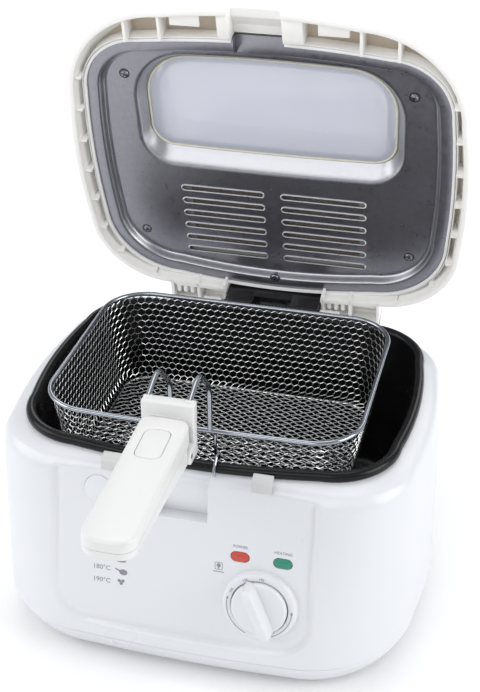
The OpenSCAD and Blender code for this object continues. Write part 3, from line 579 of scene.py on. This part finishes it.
def prints():
    """Thin generic marks: numbers, lamp names, two arcs with arrow heads and small signs."""
    b = Build()
    thick, arc_r, number_r = 0.12, 20.6, 20.2
    dial = on_panel(KNOB_X, KNOB_Z, -3.62)
    for start, sweep in ((170, 78), (282, 76)):
        flat_strip(b, arc(0, 0, arc_r, start, sweep, 24), 0.42, dial)
    for w, way in ((170, -1), (358, 1)):
        out = np.array([math.cos(math.radians(w)), math.sin(math.radians(w))])
        along = np.array([-out[1], out[0]]) * way
        c = arc_r * out
        tip = [c + along * 1.9, c - along * 0.2 + out * 0.8, c - along * 0.2 - out * 0.8]
        b.prism(tip if way < 0 else tip[::-1], 0, thick, 0, place=dial)
    for words, w in (("150", 152), ("170", 118), ("190", 88)):
        x, y = number_r * math.cos(math.radians(w)), number_r * math.sin(math.radians(w))
        turn = Matrix.Rotation(math.radians(w - 90), 4, "Z")
        add_words(b, words, 2.3, dial @ Matrix.Translation((x, y, 0.05)) @ turn)
    for words, z in (("180°C", 73), ("190°C", 64)):
        add_words(b, words, 4.6, on_panel(-54, z, PANEL_DEPTH - 0.06))
    for words, x in zip(("POWER", "HEATING"), LAMP_XS):
        add_words(b, words, 2.7, on_panel(x, LAMP_Z + 6.8, PANEL_DEPTH - 0.06))

    # framed sign beside the dial
    place = on_panel(22, 87.5, PANEL_DEPTH - 0.04)
    border = soft_rect(4.6, 5, 0.8, 4)
    flat_strip(b, np.vstack([border, border[:1]]), 0.3, place)
    b.prism(arc(0, 0.5, 1.3, 0, 360, 16)[:-1], 0, thick, 0, place=place)
    flat_strip(b, [(0, -0.4), (0, -1.9)], 0.9, place)
    flat_strip(b, [(-3.4, -4), (3.4, -4)], 0.5, place)

    # food signs: a bun, a drumstick and three balls
    bun, drumstick, balls = (on_panel(-41, z, PANEL_DEPTH - 0.04) for z in (80, 72, 64.5))
    b.prism(outline([3.2, -1.2, 1.2, 1.1, 1.1, 0, 0.3, 0.3], 6, 3), 0, thick, 0, place=bun)
    meat = outline([2.6, -1.9, 1.9, 1.8, 1.8, 0, 0.2, 0.2], 6, 3) + np.array([1.4, -0.3])
    b.prism(meat, 0, thick, 0, place=drumstick)
    flat_strip(b, [(-4, 1.8), (-2.2, 0.9), (-0.4, 0)], 0.9, drumstick)
    for x, y in ((-1.3, 0.9), (1.2, 1.0), (0, -0.9)):
        b.prism(arc(x, y, 1.1, 0, 360, 12)[:-1], 0, thick, 0, place=balls)
    b.make("panel_prints", "housing", PRINT, "black_plastic")


def hinge():
    b = Build()
    web = [(HINGE_Y + 7.2, HINGE_Z - 1.5), (HINGE_Y - 2, HINGE_Z + 7.3), (105.5, 137.6), (107.9, 112.5)]
    drum = arc(HINGE_Y, HINGE_Z, 7.6, 0, 360, 36)[:-1]
    for x0, x1 in ((-51.5, -37.5), (37.5, 51.5)):
        b.prism(web, x0, x1, 0.8, place=ALONG_X)
        b.prism(drum, x0, x1, 0.6, place=ALONG_X)
        for k in range(3):
            x = x0 + 2.2 + 4.8 * k
            b.prism(arc(HINGE_Y, HINGE_Z, 7.9, -60, 200, 20), x - 0.7, x + 0.7, 0.3, place=ALONG_X)
    b.make("hinge_knuckles", "housing", LID_WHITE_PAINTED_LIGHT, "housing", ("hinge_mounts",))


def drain_clip():
    b = Build()
    profile = [(-86.6, 150.4), (-87.4, 154.6), (-92.4, 156.2), (-97.8, 152.6), (-99.6, 148.4),
               (-100.1, 146.1)]
    b.tube(rounded_path([(16.5, y, z) for y, z in profile], 3, 8), 0.95, 10)
    b.make("drain_clip", "housing", CHROME, "chrome_wire", ("drain_hook",))


# ---- basket ----
def at_basket(points):
    return np.asarray(points, float) + np.array([BASKET_X, BASKET_Y, 0])


def wall_sheets(n=336):
    """The cup's wall as loops from rim to floor, each with n points an equal way apart."""
    steps = [(0.6, RIM_Z - 1.2), (3.0, 150), (5.8, 130), (8.2, 113), (9.2, 109.4), (11, 107.2)]
    steps.append((13.4, MESH_FLOOR_Z))
    depth = np.array([0, 16.9, 37.1, 54.3, 58, 60.9, 63.4])
    loops = [level(z, resample(outline(inset(BASKET, d), 24, 24), n, True)) for d, z in steps]
    return np.array(loops), depth


def wall_point(sheets, depth, s, t):
    """Point at share s round the cup and t mm down its wall."""
    n = sheets.shape[1]
    k = min(max(np.searchsorted(depth, t) - 1, 0), len(depth) - 2)
    f = (t - depth[k]) / (depth[k + 1] - depth[k])
    i = (s % 1) * n
    j, g = int(i) % n, i - int(i)
    a = sheets[k][j] * (1 - g) + sheets[k][(j + 1) % n] * g
    c = sheets[k + 1][j] * (1 - g) + sheets[k + 1][(j + 1) % n] * g
    return at_basket(a * (1 - f) + c * f)


def mesh_cup():
    b = Build()
    sheets, depth = wall_sheets()
    cells, rise, pitch, bottom = 120, 1.5, 4.5, 63.3
    row, t = 0, 0.4
    while t < bottom - 1:
        shift = 0.5 * (row % 2)
        for i in range(cells):
            p = wall_point(sheets, depth, (i + shift) / cells, t)
            q = wall_point(sheets, depth, (i + shift + 0.5) / cells, min(t + rise, bottom))
            e = wall_point(sheets, depth, (i + shift + 1) / cells, t)
            d = wall_point(sheets, depth, (i + shift + 0.5) / cells, min(t + pitch, bottom))
            b.tube([p, q], 0.31, 4)
            b.tube([q, e], 0.31, 4)
            if t + rise < bottom - 0.5:
                b.tube([q, d], 0.36, 4)
        t += pitch
        row += 1
    # diamond mesh of the floor: two families of crossing wires with a slight weave
    floor = inset(BASKET, 12.5)
    half_w, half_d, r = floor[0], floor[2], floor[4]
    spacing, slant = 4.4, math.radians(32)
    for sign in (-1, 1):
        way = np.array([math.cos(slant), sign * math.sin(slant)])
        across = np.array([-way[1], way[0]])
        for k in range(-30, 31):
            s = np.arange(-130, 130.1, 2.4)
            pts = across * (k * spacing) + way * s[:, None]
            q = np.abs(pts) - np.array([half_w - r, half_d - r])
            inside = np.hypot(np.maximum(q[:, 0], 0), np.maximum(q[:, 1], 0)) + np.minimum(q.max(1), 0) < r
            pts, s = pts[inside], s[inside]
            if len(pts) < 3:
                continue
            z = MESH_FLOOR_Z + 0.45 * sign * np.sin(s * math.pi / 4.9)
            b.tube(at_basket(np.column_stack([pts, z])), 0.44, 5)
    b.make("wire_mesh_cup", "basket", MESH_WIRE, "mesh_wire", ("basket_mesh",))


def basket_wires():
    b = Build()
    rim = outline(BASKET, 24, 24)
    b.tube(at_basket(level(RIM_Z, rim)), 1.6, 14, closed=True)
    b.make("rim_wire", "basket", CHROME, "chrome_wire", ("basket_rim",))
    b = Build()
    b.tube(at_basket(level(104.9, outline(inset(BASKET, 12), 20, 20))), 1.1, 10, closed=True)
    b.make("lower_band_wire", "basket", MESH_WIRE, "mesh_wire", ("basket_base_wire",))
    b = Build()
    b.tube(rounded_path([(13.6, -84.9, 166.4), (13.6, -85.0, 153), (13.6, -82.7, 149)], 3), 1.0, 10)
    b.make("catch_wire", "basket", CHROME, "chrome_wire", ("basket_catch",))
    b = Build()
    for x in WIRE_X:
        profile = [(-84.4, RIM_Z + 1), (-84.6, 196.5), (-88, 203.5), (-101.5, 216.6), (-107.5, 219.4),
                   (-114, 217.9), (-125.5, 213.4)]
        b.tube(rounded_path([(x, y, z) for y, z in profile], 7, 8), 1.6, 14)
    b.make("handle_hoops", "basket", CHROME, "chrome_wire", ("handle_wires",))


def bracket():
    b = Build()
    x0, x1 = BRACKET_X
    b.box((x0, -129.6, 200), (x1, -121.8, 214), 1.0, segments=3)
    b.box((x0 + 1.2, -127.8, 178.2), (x1 - 1.2, -122.4, 201), 0.8)
    b.box((x0 + 5, -130.2, 201.5), (x1 - 5, -129, 206), 0.4)
    for x in (x0, x1 - 3.4):
        drum = arc(PIVOT_Y, PIVOT_Z, 5.1, 90, 180, 18)
        cheek = [(-122.6, 190.8)] + [tuple(p) for p in drum] + [(-122.6, 179.4)]
        b.prism(cheek, x, x + 3.4, 0.5, place=ALONG_X)
        b.box((x + 0.2, -128.9, 190), (x + 3.2, -122.4, 201), 0.5)
    for x in WIRE_X:
        lean = Matrix.Translation((x, -124.4, 212.4)) @ Matrix.Rotation(math.radians(-22), 4, "X")
        b.turned([(0, 0), (2.9, 0), (2.9, 1.6), (2.6, 2.2), (1.9, 2.5), (0, 2.5)], 24, place=lean)
    b.make("handle_mount", "basket", HANDLE_WHITE, "handle", ("handle_bracket",))


def handle_half(y, upper):
    """Half the grip's width at the place y along it."""
    t = (GRIP_REAR - y) / (GRIP_REAR - GRIP_FRONT)
    half = 14.5 + 0.4 * t
    past = (GRIP_FRONT + END_R) - y
    if past > 0:
        half -= END_R - math.sqrt(max(END_R ** 2 - past ** 2, 0.01))
    if upper:
        near = y - (GRIP_REAR - 0.6 - REAR_R)
        if near > 0:
            half -= REAR_R - math.sqrt(max(REAR_R ** 2 - near ** 2, 0.01))
    elif y > -140.2:
        half = min(half, 11.6)
    return half


def grip_half(upper):
    """Upper or lower shell of the grip as sections along its length."""
    rear = GRIP_REAR - 0.6 - REAR_R + REAR_R * np.cos(np.radians(np.linspace(6, 90, 10)))
    lower_rear = np.array([-130.2, -131, -133, -136, -139.8, -140.4])
    tip_ys = GRIP_FRONT + END_R - END_R * np.sin(np.radians(np.linspace(4, 88, 14)))
    ys = np.concatenate([rear if upper else lower_rear, np.linspace(-143, -226, 30), tip_ys])
    corner = [(math.cos(w), math.sin(w)) for w in np.radians([0, 20, 40, 60, 80])]
    rows = []
    for y in ys:
        half = handle_half(y, upper)
        t = (GRIP_REAR - y) / (GRIP_REAR - GRIP_FRONT)
        seam = 193.2 + 1.3 * t
        near = max(0.0, 1 - (GRIP_REAR - y) / 2.5)
        tip = max(0.0, (GRIP_FRONT + 3 - y) / 3.0)
        if upper:
            top = 206 - 4.9 * t - 1.2 * near ** 2 - 1.1 * tip ** 2
            r = min(2.6, half * 0.8)
            side = [(half, seam)] + [(half - r + r * c, top - r + r * s) for c, s in corner]
            loop = side + [(0.0, top)] + [(-x, z) for x, z in side[::-1]]
        else:
            bottom = grip_bottom_z(y) + 0.8 * tip ** 2
            r = min(2.4, half * 0.8, (seam - bottom) * 0.6)
            side = [(half - r + r * c, bottom + r - r * s) for c, s in corner[::-1]]
            side.append((half, seam - 0.25))
            loop = side + [(-x, z) for x, z in side[::-1]]
        rows.append(np.array([(GRIP_X + x, y, z) for x, z in loop]))
    return rows


def grip_bottom_z(y):
    """Underside of the grip: round below the pivot, then a slope up to the tip."""
    if y > PIVOT_Y:
        return PIVOT_Z - math.sqrt(max(4.4 ** 2 - (y - PIVOT_Y) ** 2, 0))
    if y > -140.3:
        return 180.2
    return np.interp(-y, [140, 180, 233, 237], [180.4, 185.1, 188.6, 189.6])


def grip():
    at_button = Matrix.Translation((GRIP_X, GRIP_BUTTON_Y, 0))
    b = Build()
    b.skin(grip_half(True))
    ob = b.make("grip_top", "handle", HANDLE_WHITE, "handle", ("handle_upper",))
    tool = Build()
    tool.prism(soft_rect(15.6, 26.6, 5), 197, 210, 0, place=at_button)
    cut(ob, tool)
    b = Build()
    b.skin([row[::-1] for row in grip_half(False)])
    b.make("grip_bottom", "handle", HANDLE_WHITE, "handle", ("handle_lower",))
    b = Build()
    plan = soft_rect(15.2, 26.2, 4.9, 8)
    levels = []
    for z, k in ((199.4, 1.0), (204.2, 1.0), (204.9, 0.985), (205.3, 0.95), (205.5, 0.88)):
        pts = level(z, plan * k)
        pts[:, 2] += 0.6 * (pts[:, 1] / 12.9) * (z > 204)
        levels.append(pts)
    b.skin(levels, place=at_button)
    b.make("grip_button", "handle_button", HANDLE_WHITE, "handle", ("handle_button",))


# ---- lid, drawn closed and turned open ----
DOME = [(LID_RIM_Z, LID), (152, inset(LID, 0.4)), (162, [134.3, -116.5, 109.2, 70, 57, 3.1, 4.8, 4]),
        (176, [128.4, -105.6, 103.6, 67, 56, 2.8, 4.5, 4]), (188, [115, -93, 83, 62, 55, 2.2, 4, 3]),
        (195.6, [97, -75, 56.8, 50, 45, 2, 3, 2]), (199.6, [73, -53, 31, 36, 36, 1.5, 2, 1])]


def dome_at(z):
    """The dome's outline at a height, straight between the two nearest levels."""
    rows = np.array([[h, *o] for h, o in DOME], float)
    return np.array([np.interp(z, rows[:, 0], rows[:, k]) for k in range(1, rows.shape[1])])


def smooth_levels(levels, steps=5):
    """Catmull-Rom curve through the outlines of a dome."""
    rows = np.array([[z, *o] for z, o in levels], float)
    padded = np.vstack([2 * rows[0] - rows[1], rows, 2 * rows[-1] - rows[-2]])
    out = []
    for i in range(1, len(rows)):
        p0, p1, p2, p3 = padded[i - 1:i + 3]
        for t in np.linspace(0, 1, steps, endpoint=False):
            out.append(0.5 * (2 * p1 + (p2 - p0) * t + (2 * p0 - 5 * p1 + 4 * p2 - p3) * t ** 2
                              + (3 * p1 - p0 - 3 * p2 + p3) * t ** 3))
    out.append(rows[-1])
    return [(r[0], r[1:]) for r in out]


def lid_loop(o, z=None, d=0.0):
    """An outline of the lid drawn finely, moved in by d and, if z is given, set at that height."""
    points = outline(inset(o, d), 20, 20)
    return points if z is None else level(z, points)


def lid_shell():
    b = Build(OPENED)
    outer = [level(z, outline(o, 20, 20)) for z, o in smooth_levels(DOME[1:])]
    rim = [(4.3, 149), (4.0, 148.3), (3.4, LID_RIM_Z), (1.0, LID_RIM_Z), (0.4, 148.3), (0.1, 149.2)]
    rim = [lid_loop(LID, z, d) for d, z in rim]
    inner = [lid_loop(DOME[k][1], z, d) for k, z, d in ((6, 196, 4), (5, 190, 5), (4, 183, 5), (3, 173, 4.4))]
    inner += [lid_loop(dome_at(z), z, d) for z, d in ((166.4, 4), (162, 4), (155, 4.3))]
    b.skin(inner + rim + outer)
    ob = b.make("lid_dome", "lid", [LID_WHITE_PAINTED_LIGHT, POCKET_SHADE], "housing", ("lid_shell",))
    tool = Build(OPENED)
    left, right = CHANNEL_X
    tool.box((left, -135, 140), (right, -107, 158.6), 0.8)
    tool.box((-36, 102.8, 140), (36, 140, 165.4), 0.3)
    tool.prism(outline(inset(GLASS, 1), 12, 6), 150, 230, 0)
    for i in range(6):
        tool.prism(soft_rect(90 - 4 * i, 3.6, 1.7) + np.array([0, 34 + 9 * i]), 170, 230, 0)
    cut(ob, tool)

    # skirt round the plate's seal and the pockets' floor; the floor carries the painted shade of the deep
    # pockets
    b = Build(OPENED)
    skirt = [(-2.1, 166), (-2.1, 156), (-2.3, 155.6), (-2.8, 155.6), (-3.0, 156), (-3.0, 166)]
    b.skin([lid_loop(PLATE, z, d) for d, z in skirt][::-1], closed=True)
    low, high = 165, 166.2
    floor = [lid_loop(PLATE, low, SKIRT_D), lid_loop(dome_at(low), low, 3),
             lid_loop(dome_at(high), high, 3), lid_loop(PLATE, high, SKIRT_D)]
    b.skin(floor[::-1], closed=True, mark=1)
    ob = b.make("lid_skirt", "lid", [LID_WHITE_PAINTED_LIGHT, POCKET_SHADE], "housing")
    tool = Build(OPENED)
    tool.box((left, -135, 140), (right, -80, 169), 0)
    tool.box((-36, 100, 140), (36, 140, 172), 0)
    cut(ob, tool)


def crossing(loop, axis, at, side):
    """Where a loop meets the line on which the given axis is `at`: the crossing farthest to that side."""
    crossings = []
    for p, q in zip(loop, np.roll(loop, -1, 0)):
        if (p[axis] - at) * (q[axis] - at) <= 0 and p[axis] != q[axis]:
            share = (at - p[axis]) / (q[axis] - p[axis])
            crossings.append(p[1 - axis] + share * (q[1 - axis] - p[1 - axis]))
    return max(crossings) if side > 0 else min(crossings)


def rib(b, axis, at, side, lean, place):
    """A flat rib from the plate's skirt to the rim, its rim end leaning in with the dome."""
    start = crossing(lid_loop(PLATE, d=SKIRT_D), axis, at, side)
    end = crossing(lid_loop(LID, d=4.0), axis, at, side)
    low, top = 150.5, 165.6
    poly = [(start, low), (end, low), (end - side * 0.8, 156), (end - side * lean, top), (start, top)]
    b.prism(poly, -RIB_HALF, RIB_HALF, 0.3, place=place)


def ribs():
    b = Build(OPENED)
    for side in (-1, 1):
        for y in (-66, -40, -14, 12, 38, 64, 86):
            rib(b, 1, y, side, 3.0, Matrix.Translation((0, y, 0)) @ ALONG_Y)
    for x in (-90, -66, 66, 90):
        rib(b, 0, x, -1, 6.0, Matrix.Translation((x, 0, 0)) @ ALONG_X)
    for x in (-92, 92):
        rib(b, 0, x, 1, 3.0, Matrix.Translation((x, 0, 0)) @ ALONG_X)
    for x in (-48.5, 48.5):
        b.box((x - 10, -121.6, 151.6), (x + 10, -111.5, 153.6), 0.5)

    # smooth block in the middle of the front, with the passage for the handle wires
    left, right = CHANNEL_X
    ceiling = [(-101.6, 165.2), (-108, 165.2), (-117, 158.8), (-121.5, 158.8), (-121.5, 160.2), (-117, 160.6),
               (-108, 166.6), (-101.6, 166.6)]
    b.prism(ceiling, left - 0.1, right + 0.1, 0.2, place=ALONG_X)
    cheek = [(-103.2, 152.4), (-103.2, 166), (-116, 166), (-121, 158), (-123.4, 150.2), (-108, 150.8)]
    b.prism(cheek, -27, left + 0.1, 0.6, place=ALONG_X)
    b.prism(cheek, right - 0.1, 29, 0.6, place=ALONG_X)
    b.make("lid_ribs", "lid", [LID_WHITE_PAINTED_LIGHT, POCKET_SHADE], "housing", sharp=30)


def hinge_cowls():
    b = Build(OPENED)
    shoulder = [(128, LID_RIM_Z), (130.6, 151.5), (129, 160), (118, 168.6), (105.5, 171)]
    cheek = [(105.5, 150), (106, LID_RIM_Z)] + shoulder
    back = [(126.4, LID_RIM_Z), (128.4, LID_RIM_Z)] + shoulder[1:]
    back += [(105.5, 168.5), (117, 166.4), (126.4, 159)]
    for x0, x1 in ((-80, -36.5), (36.5, 80)):
        for x in (x0, x0 + 20.6, x1 - 2.2):
            b.prism(cheek, x, x + 2.2, 0.5, place=ALONG_X)
        b.prism(back, x0, x1, 0.4, place=ALONG_X)
        b.box((x0 + 3, 111, 149.5), (x1 - 3, 113, 166), 0.4)
        for k in range(3):
            b.box((x0 + 4.4 + 5.2 * k, 112.6, 149.4), (x0 + 7.2 + 5.2 * k, 119, 158), 0.6)
    b.make("hinge_cowls", "lid", [LID_WHITE_PAINTED_LIGHT, POCKET_SHADE], "housing", sharp=30)


def lid_plate():
    b = Build(OPENED)
    edge = [(0.1, 158.4), (0, 157.6), (0.3, 157.1), (1, PLATE_Z), (7.2, PLATE_Z), (8.0, 157.2), (8.8, 158),
            (9.4, 159.8), (9.9, 161.6), (10.6, 162.9), (11.6, 163.4), (12.6, FIELD_Z)]
    rows = [lid_loop(PLATE, z, d) for d, z in edge]
    window, glass = lid_loop(WINDOW), lid_loop(GLASS)
    rows.append(lid_loop(WINDOW, FIELD_Z, -2.4))
    wall = [(-0.14, 163.6), (0.0, 163.9), (0.12, 164.6), (0.3, 166.1), (0.6, 168.9), (0.86, 171.4),
            (0.96, 172.1), (1.0, PANE_Z), (1.0, PANE_Z + 1), (0.02, FIELD_Z + 2.6)]
    rows += [level(z, window + (glass - window) * t) for t, z in wall]
    rows.append(lid_loop(WINDOW, FIELD_Z + 1, -2.4))
    rows += [lid_loop(PLATE, z, d) for d, z in ((11.2, 164.5), (8.2, 159.5), (6.6, 158.4))]
    b.skin(rows[::-1], closed=True)
    ob = b.make("pressed_lid_plate", "lid", [PLATE_METAL, WALL_SHEEN_METAL], "lid_plate", ("lid_plate",), 40)
    # the pressed walls are made brighter than the flat field: a painted highlight, a lighter copy of the
    # plate metal standing in for the light they reflect
    to_closed = OPENED.inverted().to_3x3()
    for face in ob.data.polygons:
        if abs((to_closed @ face.normal).z) < 0.93:
            face.material_index = 1
    slots = [np.array([s * LOUVRE_X, LOUVRE_Y + LOUVRE_PITCH * i]) for s in (-1, 1) for i in range(LOUVRES)]
    left, right = CHANNEL_X
    tool = Build(OPENED)
    tool.box((left + 1, -110, 150), (right - 1, -87.6, 166), 0)
    for slot in slots:
        tool.prism(soft_rect(60.4, 4.2, 2.0) + slot, 160, 168, 0)
    cut(ob, tool, 40)

    # roof and side walls of the channel for the handle wires
    b = Build(OPENED)
    roof = [(-87, FIELD_Z), (-100.6, 164.6), (-100.6, 165.4), (-87, 164.4)]
    b.prism(roof, left + 0.3, right - 0.3, 0.15, place=ALONG_X)
    wall = [(-100.6, PLATE_Z + 0.1), (-92.9, PLATE_Z + 0.1), (-87.6, FIELD_Z), (-87.6, 164.6),
            (-100.6, 165.3)]
    for x in (left + 0.3, right - 1):
        b.prism(wall, x, x + 0.7, 0.15, place=ALONG_X)
    b.make("channel_roof", "lid", PLATE_METAL, "lid_plate", sharp=40)

    # louvres: a raised lip round each slot, made bright as a painted highlight on the pressed edges
    b = Build(OPENED)
    for slot in slots:
        b.tube(level(FIELD_Z - 0.1, soft_rect(61, 4.6, 2.2) + slot), 0.6, 6, closed=True)
    b.make("plate_louvres", "lid", LOUVRE_LIP_SHEEN, "lid_plate", sharp=40)


def seal_and_pane():
    b = Build(OPENED)
    seal = [(0.05, 159.2), (-1.7, 159.2), (-1.9, 157.2), (-1.6, 155.2), (-0.9, 154.7), (0.2, 155.2),
            (0.3, 156.6), (0.05, 157)]
    b.skin([lid_loop(PLATE, z, d) for d, z in seal][::-1], closed=True)
    ob = b.make("plate_seal", "lid", SEAL, "seal", ("lid_seal",))
    tool = Build(OPENED)
    tool.box((CHANNEL_X[0] - 0.2, -112, 150), (CHANNEL_X[1] + 0.2, -80, 172), 0)
    cut(ob, tool)

    b = Build(OPENED)
    b.tube(level(PANE_Z - 0.1, outline(inset(GLASS, 0.9), 16, 16)), 0.75, 8, closed=True)
    b.make("pane_gasket", "lid", GASKET, "gasket", ("window_gasket",))
    b = Build(OPENED)
    b.prism(outline(inset(GLASS, -1), 16, 10), PANE_Z + 0.2, PANE_Z + 3, 0.2)
    b.make("viewing_pane", "lid", GLASS_MAT, "glass", ("window_glass",))


def screw_head(b, x, y, z):
    """A crosshead screw whose head looks towards -Z, its tip up."""
    head = [(0, z - 1.5), (1.4, z - 1.45), (2.4, z - 1.1), (2.9, z - 0.4), (2.9, z + 0.2), (1.6, z + 0.2),
            (1.6, z + 5), (0, z + 5)]
    place = Matrix.Translation((x, y, 0))
    b.turned(head, 28, place=place)
    ring = arc(x, y, 3.4, 0, 360, 28)[:-1]
    b.tube(level(z - 0.05, ring), 0.35, 6, closed=True, mark=1)
    for turn in (20, 110):
        spin = Matrix.Rotation(math.radians(turn), 4, "Z")
        b.box((-1.8, -0.32, z - 1.62), (1.8, 0.32, z - 1.3), 0.05, mark=1, place=place @ spin)


def plate_screws():
    b = Build(OPENED)
    for x in (-98.8, 98.8):
        for y in (-64.3, 71.5):
            screw_head(b, x, y, FIELD_Z)
    screw_head(b, 0, 100.5, PLATE_Z)
    b.make("plate_screw_heads", "lid", [SCREW_METAL, BLACK], "screw_steel", ("plate_screws",), 30)


def hinge_arm():
    """Black arm on the lid, with two barrels on the shaft and a bar joining them."""
    b = Build(OPENED)
    half, gap = 35.4, 14.0
    crest = [(112.4, 159.4), (103.4, 159.4), (103.4, 165), (121, 165), (129.3, 157)]
    side = [(112.4, 139.4)] + crest + [(129.3, 150), (126.4, 137)]
    bridge = [(112.4, 147)] + crest + [(129.3, 147)]
    barrel = arc(HINGE_Y, HINGE_Z, 7.9, 0, 360, 36)[:-1]
    for x0, x1 in ((-half, -gap), (gap, half)):
        b.prism(side[::-1], x0, x1, 0.5, place=ALONG_X)
        b.prism(barrel, x0, x1, 0.5, place=ALONG_X)
    b.prism(bridge[::-1], -gap - 0.5, gap + 0.5, 0.3, place=ALONG_X)
    b.tube([(-half, 129.2, 151), (half, 129.2, 151)], 1.9, 16)
    for x in (-22, 4, 20):
        b.box((x, 128.6, 140), (x + 1, 130, 150), 0.3)
    b.make("lid_hinge_arm", "lid", BLACK, "black_plastic", ("hinge_arm",), 35)


# ---- carried-over frame nodes: better materials ----
def dress(names, mat):
    for name in names:
        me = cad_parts[name].data
        me.materials.clear()
        me.materials.append(mat)
        me.shade_smooth()
        me.set_sharp_from_angle(angle=math.radians(30))


def carried_over():
    dress(("feet", "cord_inlet"), RUBBER)
    dress(("base_screws", "clamp_screws", "element_clamp", "hinge_shaft", "hinge_spring", "button_spring",
           "handle_pin", "handle_button_spring"), SCREW_METAL)
    dress(("heat_spreader",), SPREADER)
    dress(("heating_element",), ELEMENT)
    dress(("clamp_pillars", "thermostat", "terminal_block", "filter_frame"), IVORY)
    dress(("thermal_cutout",), BAKELITE)
    dress(("sensor_bulb",), COPPER)
    dress(("mains_leads",), LEADS)
    dress(("window_frame",), LID_WHITE_PAINTED_LIGHT)
    dress(("filter_pad",), FLEECE)


# ---- studio ----
def studio():
    """A pale floor, a soft sky and five large lamps; each lamp is (name, place, size, power)."""
    half = 6
    corners = [(-half, -half, 0), (half, -half, 0), (half, half, 0), (-half, half, 0)]
    me = bpy.data.meshes.new("floor")
    me.from_pydata(corners, [], [(0, 1, 2, 3)])
    floor = bpy.data.objects.new("floor", me)
    bpy.context.collection.objects.link(floor)
    me.materials.append(material("floor_paper", (0.95, 0.95, 0.95), 0.7, tint=0.01, scale=3, bump=0))
    world = bpy.data.worlds.new("studio")
    bpy.context.scene.world = world
    world.use_nodes = True
    sky = world.node_tree.nodes["Background"]
    sky.inputs["Color"].default_value = (0.94, 0.965, 1.0, 1)
    sky.inputs["Strength"].default_value = 0.50
    bpy.context.scene.view_settings.view_transform = "Standard"
    lamps = [("left", (-1.7, -0.5, 1.1), (1.3, 1.3), 13), ("right", (1.9, -0.2, 1.0), (1.3, 1.3), 21),
             ("top", (-0.2, 0.5, 2.2), (1.4, 1.4), 11), ("front", (-0.6, -2.0, 1.6), (2.4, 1.1), 17),
             ("back", (0.0, 2.2, 1.6), (2.6, 1.2), 20)]
    for name, place, size, power in lamps:
        data = bpy.data.lights.new(name, "AREA")
        data.shape = "RECTANGLE"
        data.size, data.size_y, data.energy = *size, power
        ob = bpy.data.objects.new(name, data)
        ob.location = place
        ob.rotation_euler = (Vector((0, 0, 0.15)) - Vector(place)).to_track_quat("-Z", "Y").to_euler()
        bpy.context.collection.objects.link(ob)


def camera():
    """Looks at the front from the right and above."""
    turn, down, roll = (math.radians(v) for v in (14.43, 30.75, 0.19))
    back = Vector((math.sin(turn) * math.cos(down), -math.cos(turn) * math.cos(down), math.sin(down)))
    data = bpy.data.cameras.new("camera")
    data.lens, data.sensor_width = 67.27, 36
    ob = bpy.data.objects.new("camera", data)
    ob.location = (0.18821, -0.70326, 0.61011)
    ob.rotation_euler = (back.to_track_quat("Z", "Y").to_matrix() @ Matrix.Rotation(-roll, 3, "Z")).to_euler()
    bpy.context.collection.objects.link(ob)
    bpy.context.scene.camera = ob


camera()
housing()
base()
pot()
controls()
prints()
hinge()
drain_clip()
mesh_cup()
basket_wires()
bracket()
grip()
lid_shell()
ribs()
hinge_cowls()
lid_plate()
seal_and_pane()
plate_screws()
hinge_arm()
carried_over()
studio()
